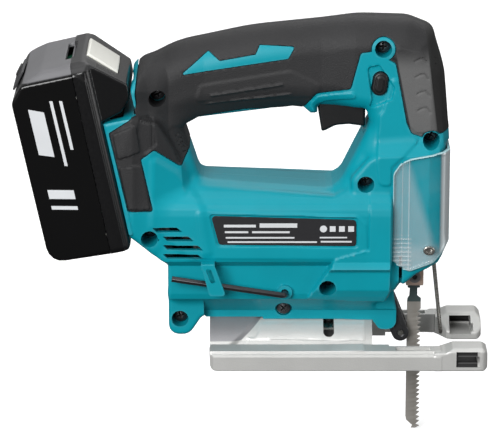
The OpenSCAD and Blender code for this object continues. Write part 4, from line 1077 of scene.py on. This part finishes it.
def build_key():
    """Hexagon key, its short leg along y and its long leg leaning back and up."""
    (x0, z0), y0, r, length = KEY_AT, -33.4, 2.4, 61
    lean = math.radians(81.2)
    ux, uz = -math.sin(lean), math.cos(lean)
    path = [(x0, -24.0, z0), (x0, y0 + r, z0)]
    for t in np.linspace(0.2, math.pi / 2, 6):
        reach = r * (1 - math.cos(t))
        path.append((x0 + ux * reach, y0 + r - r * math.sin(t), z0 + uz * reach))
    path.append((x0 + ux * length, y0, z0 + uz * length))
    ob = sweep("hexagon_key", path, disc(1.72, 6, math.radians(30)))
    b = ob.modifiers.new("edges", "BEVEL")
    b.width, b.segments, b.limit_method, b.angle_limit = 0.2 * MM, 2, "ANGLE", math.radians(40)
    piece(ob, "key_body", DARK_STEEL, "dark_steel", "hex_key")


def screw_head(p):
    """Recessed-head screw lying along y with its cross facing -y, centred on the origin."""
    x, y, z = p.T
    r = np.hypot(x, z)
    dome = np.sqrt(r * r + (y - 5.2) ** 2) - 6.4
    d = rounded_max(np.maximum(r - 3.7, dome), y - 2.0, 0.3)
    d = np.minimum(d, common(r - 1.85, -y, y - 6))
    ax, az = np.abs(x), np.abs(z)
    arms = np.minimum(np.maximum(ax - 0.5, az - 2.1), np.maximum(az - 0.5, ax - 2.1))
    return less(d, common(arms, y - 1.8 + 0.75 * r, -3 - y))


def build_screws():
    verts, faces = contour(screw_head, (-4, -1.6, -4), (4, 6.2, 4), 0.34)
    for k, (x, z, depth) in enumerate(SCREWS):
        turn = 0.5 + 1.1 * k
        c, s = math.cos(turn), math.sin(turn)
        v = np.stack([verts[:, 0] * c - verts[:, 2] * s + x, verts[:, 1] - depth,
                      verts[:, 0] * s + verts[:, 2] * c + z], 1)
        ob = mesh_object(f"screw_{k + 1}", v, faces)
        piece(ob, "tool_body", DARK_STEEL, "dark_steel", *(["housing_screws"] if k == 0 else []))


TRIGGER = [(-51.8, 146, 1), (-51.5, 138, 2), (-49.4, 125.0, 1.2), (-47.2, 125.6, 1), (-42, 128.4, 9),
           (-35, 129.0, 12), (-26.2, 127.8, 1.0), (-26, 146, 1)]


def trigger_shape(p):
    x, y, z = p.T
    d = rounded_max(polygon_distance(x, z, TRIGGER), np.abs(y) - 7.9, 1.6)
    d = np.minimum(d, box(p, (-43, -3, 140), (-35, 3, 150.4)))
    groove = 0.35 * ramp(-np.abs(np.abs(y) - 5.6), -0.5, 0)
    return d + groove * ramp(-z, -134, -131)


def lock_shape(p):
    x, y, z = p.T
    pill = lock_pill(x, z)
    d = rounded_max(pill - 3.95, np.abs(y) - 20.0, 1.1)
    return d - 0.55 * ramp(1.9 - pill, -0.5, 0.5) * ramp(np.abs(y), 18.5, 19.5)


def arm_shape(p):
    x, y, z = p.T
    a, b = np.array(ARM_PIVOT), np.array(ROLLER_AT)
    e = b - a
    wx, wz = x - a[0], z - a[1]
    t = np.clip((wx * e[0] + wz * e[1]) / (e @ e), 0, 1)
    r = np.hypot(wx - e[0] * t, wz - e[1] * t)
    d = rounded_max(r - (5.0 - 0.4 * t), np.abs(y) - 6.0, 0.5)
    d = less(d, box(p, (-14, -2.9, 0), (6, 2.9, 19.6)), box(p, (-2.6, -9, 14), (8, 9, 40)),
             np.hypot(wx, wz) - 2.05, from_point(x, z, ROLLER_AT) - 1.5)
    return d + 0.5 * ramp(-r, -2.4, -2.0) * ramp(np.abs(y), 5.4, 5.9)


def roller_shape(p):
    x, y, z = p.T
    r = from_point(x, z, ROLLER_AT)
    groove = 0.55 * ramp(-np.abs(y), -0.9, -0.5)
    return np.maximum(rounded_max(r - 3.4 + groove, np.abs(y) - 2.6, 0.4), 1.55 - r)


def holder_shape(p):
    """Clamp block with a cross bolt, a collar and the slot for the blade's shank."""
    x, y, z = p.T
    across, ay = x - BLADE_X, np.abs(y)
    block = rounded_max(np.maximum(np.abs(across - 0.15) - 4.75, ay - 5.4), np.abs(z - 43.8) - 6, 0.7)
    bolt = rounded_max(np.maximum(np.abs(across) - 3, ay - 6.4), np.abs(z - 43.5) - 3.5, 0.5)
    collar = rounded_max(np.hypot(across, y) - 3.2, np.abs(z - 48) - 2.0, 0.3)
    socket = np.where(y < 0, np.hypot(across, z - 43.5) - 2.05, 9)
    slot = box(p, (BLADE_X - 3.45, -0.75, 36), (BLADE_X + 3.55, 0.75, 47.1))
    return less(joined(block, bolt, collar), slot, socket)


def knob_shape(p):
    """Fluted knob with a grip bar, on the left flank above the nose."""
    x, y, z = p.T
    x, z = x - LEVER_AT[0], z - LEVER_AT[1]
    r = np.hypot(x, z)
    flutes = 0.3 * np.cos(12 * np.arctan2(z, x))
    d = rounded_max(r - 6.2 + flutes * ramp(r, 5, 6), np.abs(y - 34.3) - 1.7, 0.8)
    bar = common(np.abs(x) - 4.9, np.abs(z) - 0.9, np.abs(y - 36.4) - 1.4) - 0.4
    return np.maximum(soft_min(d, bar, 0.8), np.where(y < 35, 2.05 - r, -9))


def build_blade():
    """Toothed blade: a thin plate whose teeth lean to one side and the other in turn."""
    back, tip, pitch = BLADE_X - 3.6, BLADE_X + 3.9, 2.6
    teeth = []
    for i in range(26):
        z = -44.6 + pitch * i
        teeth += [(z, tip, i), (z + pitch * 0.25, tip - 2.2, None)]
    verts, faces = [], []

    def ring(z, x_front, x_back, lean):
        """Section of the blade: back, root line of the teeth and set edge, on both faces."""
        n = len(verts)
        root = min(max(x_back + 0.2, tip - 2.7), x_front - 0.2)
        verts.extend([(x_back, -0.6, z), (root, -0.6, z), (x_front, lean - 0.6, z),
                      (x_front, lean + 0.6, z), (root, 0.6, z), (x_back, 0.6, z)])
        return n
    levels = [ring(-46, tip - 2, back + 3.0, 0)]
    for z, xf, k in teeth:
        lean = 0.0 if k is None else (0.38 if k % 2 else -0.38)
        xb = back + max(0, (-41 - z)) / 5 * 5.5
        levels.append(ring(z, xf, min(xb, xf - 0.5), lean))
    shank = [(23.2, tip, back), (27.2, tip, back), (29, tip, back + 0.2), (30.5, tip - 2, back + 1.2),
             (35, tip - 2, back + 1.4), (35.2, tip - 0.6, back + 0.2), (38.2, tip - 0.6, back + 0.6),
             (46.6, tip - 1, back + 0.6)]
    for z, xf, xb in shank:
        levels.append(ring(z, xf, xb, 0))
    for a, b in zip(levels, levels[1:]):
        for k in range(6):
            faces.append([a + k, a + (k + 1) % 6, b + (k + 1) % 6, b + k])
    faces.append([levels[0] + k for k in (5, 4, 3, 2, 1, 0)])
    faces.append([levels[-1] + k for k in range(6)])
    ob = mesh_object("saw_blade_set", verts, faces, sharp=20)
    piece(ob, "slider_body", BLADE, "blade_steel", "saw_blade")
    ob.data.materials.append(SHANK)
    for poly in ob.data.polygons:
        if poly.center[2] > 26.5 * MM:
            poly.material_index = 1


def build_plate():
    """Rating plate: rounded film with plain bars where a maker would print."""
    edge = [(-104.1, 69.2, 1.8), (-31.2, 68.4, 1.8), (-31.3, 82.9, 1.8), (-108.3, 85.1, 1.8)]
    solid("rating_film", lambda p: rounded_max(polygon_distance(p[:, 0], p[:, 2], edge),
                                               np.abs(p[:, 1] + 30.95) - 0.35, 0.15),
          (-109, -31.5, 67.5), (-30, -30.4, 86), FINE, "tool_body", LABEL, "label", "rating_plate")
    bars = [(-101.5, -84.5, 79.6, 1.5), (-82.5, -62.5, 79.9, 2.4), (-101, -88.5, 76.2, 1.1),
            (-86.5, -66.5, 76.2, 1.1), (-100.5, -64.0, 73.1, 0.9), (-99.5, -52, 70.7, 0.9),
            (-50, -33.5, 70.9, 0.9), (-50.5, -36, 73.2, 0.8)]
    verts, faces = [], []
    for x0, x1, z, h in bars:
        n = len(verts)
        for x, zz in ((x0, z - h / 2), (x1, z - h / 2), (x1, z + h / 2), (x0, z + h / 2)):
            verts.append((x, -31.36, zz))
        faces.append([n, n + 1, n + 2, n + 3])
    for k in range(4):
        cx, r = -48.6 + 4.9 * k, 1.9
        n = len(verts)
        ring = disc(r, 20) if k == 0 else disc(r * 1.15, 4, math.pi / 4)
        verts += [(cx + a, -31.36, 78.0 + b) for a, b in ring]
        faces.append(list(range(n, n + len(ring))))
    piece(mesh_object("rating_print", verts, faces), "tool_body", PRINT, "label")


def build_small():
    pieces = [
        ("trigger_moulding", trigger_shape, (-52, -8.5, 125), (-25.5, 8.5, 151), "trigger_body", BLACK,
         "black_plastic", "trigger"),
        ("lock_pill", lock_shape, (-24, -21, 147), (-14, 21, 162), "lock_body", BLACK, "black_plastic",
         "lock_button"),
        ("roller_fork", arm_shape, (-18.5, -6.5, 6), (-1.5, 6.5, 33.5), "arm_body", DARK_STEEL, "dark_steel",
         "roller_arm"),
        ("grooved_roller", roller_shape, (-9.5, -3, 7), (-2, 3, 15), "roller_body", STEEL, "bright_steel",
         "guide_roller"),
        ("holder_block", holder_shape, (-4, -7, 37), (7.5, 7, 50.5), "slider_body", BRONZE, "bright_steel",
         "blade_holder"),
        ("action_knob", knob_shape, (-27, 32, 39), (-13, 39, 53), "lever_body", BLACK, "black_plastic",
         "action_lever"),
    ]
    for name, f, lo, hi, body, mat, slot, node in pieces:
        solid(name, f, lo, hi, FINE, body, mat, slot, node)


# ------------------------------------------------------------------ stage
def area_light(name, at, look, size, power):
    data = bpy.data.lights.new(name, "AREA")
    data.shape = "RECTANGLE"
    data.size, data.size_y = size
    data.energy = power
    ob = bpy.data.objects.new(name, data)
    bpy.context.scene.collection.objects.link(ob)
    ob.location = at
    ob.rotation_euler = (Vector(look) - Vector(at)).to_track_quat("-Z", "Y").to_euler()


# room light by height of the direction: (upward part of the direction, brightness)
ROOM = [(-1.0, 0.05), (-0.05, 0.16), (0.0, 0.28), (0.35, 0.36), (1.0, 0.50)]


def build_room():
    """Soft studio surroundings: dark below, dim at the sides, bright overhead."""
    world = bpy.data.worlds.new("studio")
    bpy.context.scene.world = world
    world.use_nodes = True
    nt = world.node_tree
    split = nt.nodes.new("ShaderNodeSeparateXYZ")
    nt.links.new(nt.nodes.new("ShaderNodeTexCoord").outputs["Generated"], split.inputs["Vector"])
    share = nt.nodes.new("ShaderNodeMapRange")
    share.inputs["From Min"].default_value = -1
    nt.links.new(split.outputs["Z"], share.inputs["Value"])
    shades = nt.nodes.new("ShaderNodeValToRGB")
    ends = shades.color_ramp.elements
    for k, (up, level) in enumerate(ROOM):
        stop = ends[k] if k < 2 else ends.new((up + 1) / 2)
        stop.position = (up + 1) / 2
        stop.color = (level, level, level, 1)
    nt.links.new(share.outputs["Result"], shades.inputs["Fac"])
    nt.links.new(shades.outputs["Color"], nt.nodes["Background"].inputs["Color"])


def build_stage():
    floor_mat = material("pale_floor", (0.97, 0.97, 0.97), 0.7, vary=0.004, patch=3, bump=0.0, grain=50)
    glow = floor_mat.node_tree.nodes["Principled BSDF"]
    glow.inputs["Emission Color"].default_value = (1, 1, 1, 1)
    glow.inputs["Emission Strength"].default_value = 0.45
    me = bpy.data.meshes.new("floor")
    s, z = 6.0, -0.0475
    me.from_pydata([(-s, -s, z), (s, -s, z), (s, s, z), (-s, s, z)], [], [(0, 1, 2, 3)])
    floor = bpy.data.objects.new("floor", me)
    floor.data.materials.append(floor_mat)
    floor.visible_diffuse = False
    floor.visible_glossy = False
    bpy.context.scene.collection.objects.link(floor)
    build_room()
    bpy.context.scene.view_settings.view_transform = "Standard"
    look = (-0.09, 0, 0.08)
    area_light("front_left", (-0.7, -1.3, 0.65), look, (0.8, 0.8), 24.5)
    area_light("overhead", (-0.2, -0.1, 1.2), look, (0.9, 0.5), 3.5)
    area_light("strip_right", (1.0, -0.5, 0.45), look, (0.25, 0.9), 2.5)
    area_light("back_top", (0.1, 0.9, 0.9), look, (1.0, 0.5), 3)
    cam_data = bpy.data.cameras.new("camera")
    cam_data.lens = 239.8
    cam_data.sensor_width = 36
    cam_data.clip_end = 50
    cam = bpy.data.objects.new("camera", cam_data)
    bpy.context.scene.collection.objects.link(cam)
    tilt, away = math.radians(17), 1.8
    target = (-0.0876, 0.0, 0.0734)
    cam.location = (target[0], target[1] - away * math.cos(tilt), target[2] + away * math.sin(tilt))
    cam.rotation_euler = (math.pi / 2 - tilt, 0, 0)
    bpy.context.scene.camera = cam


def main():
    dress_cad()
    build_housing()
    build_battery()
    build_base()
    build_cover()
    build_guard()
    build_key()
    build_screws()
    build_blade()
    build_plate()
    build_small()
    build_stage()


main()
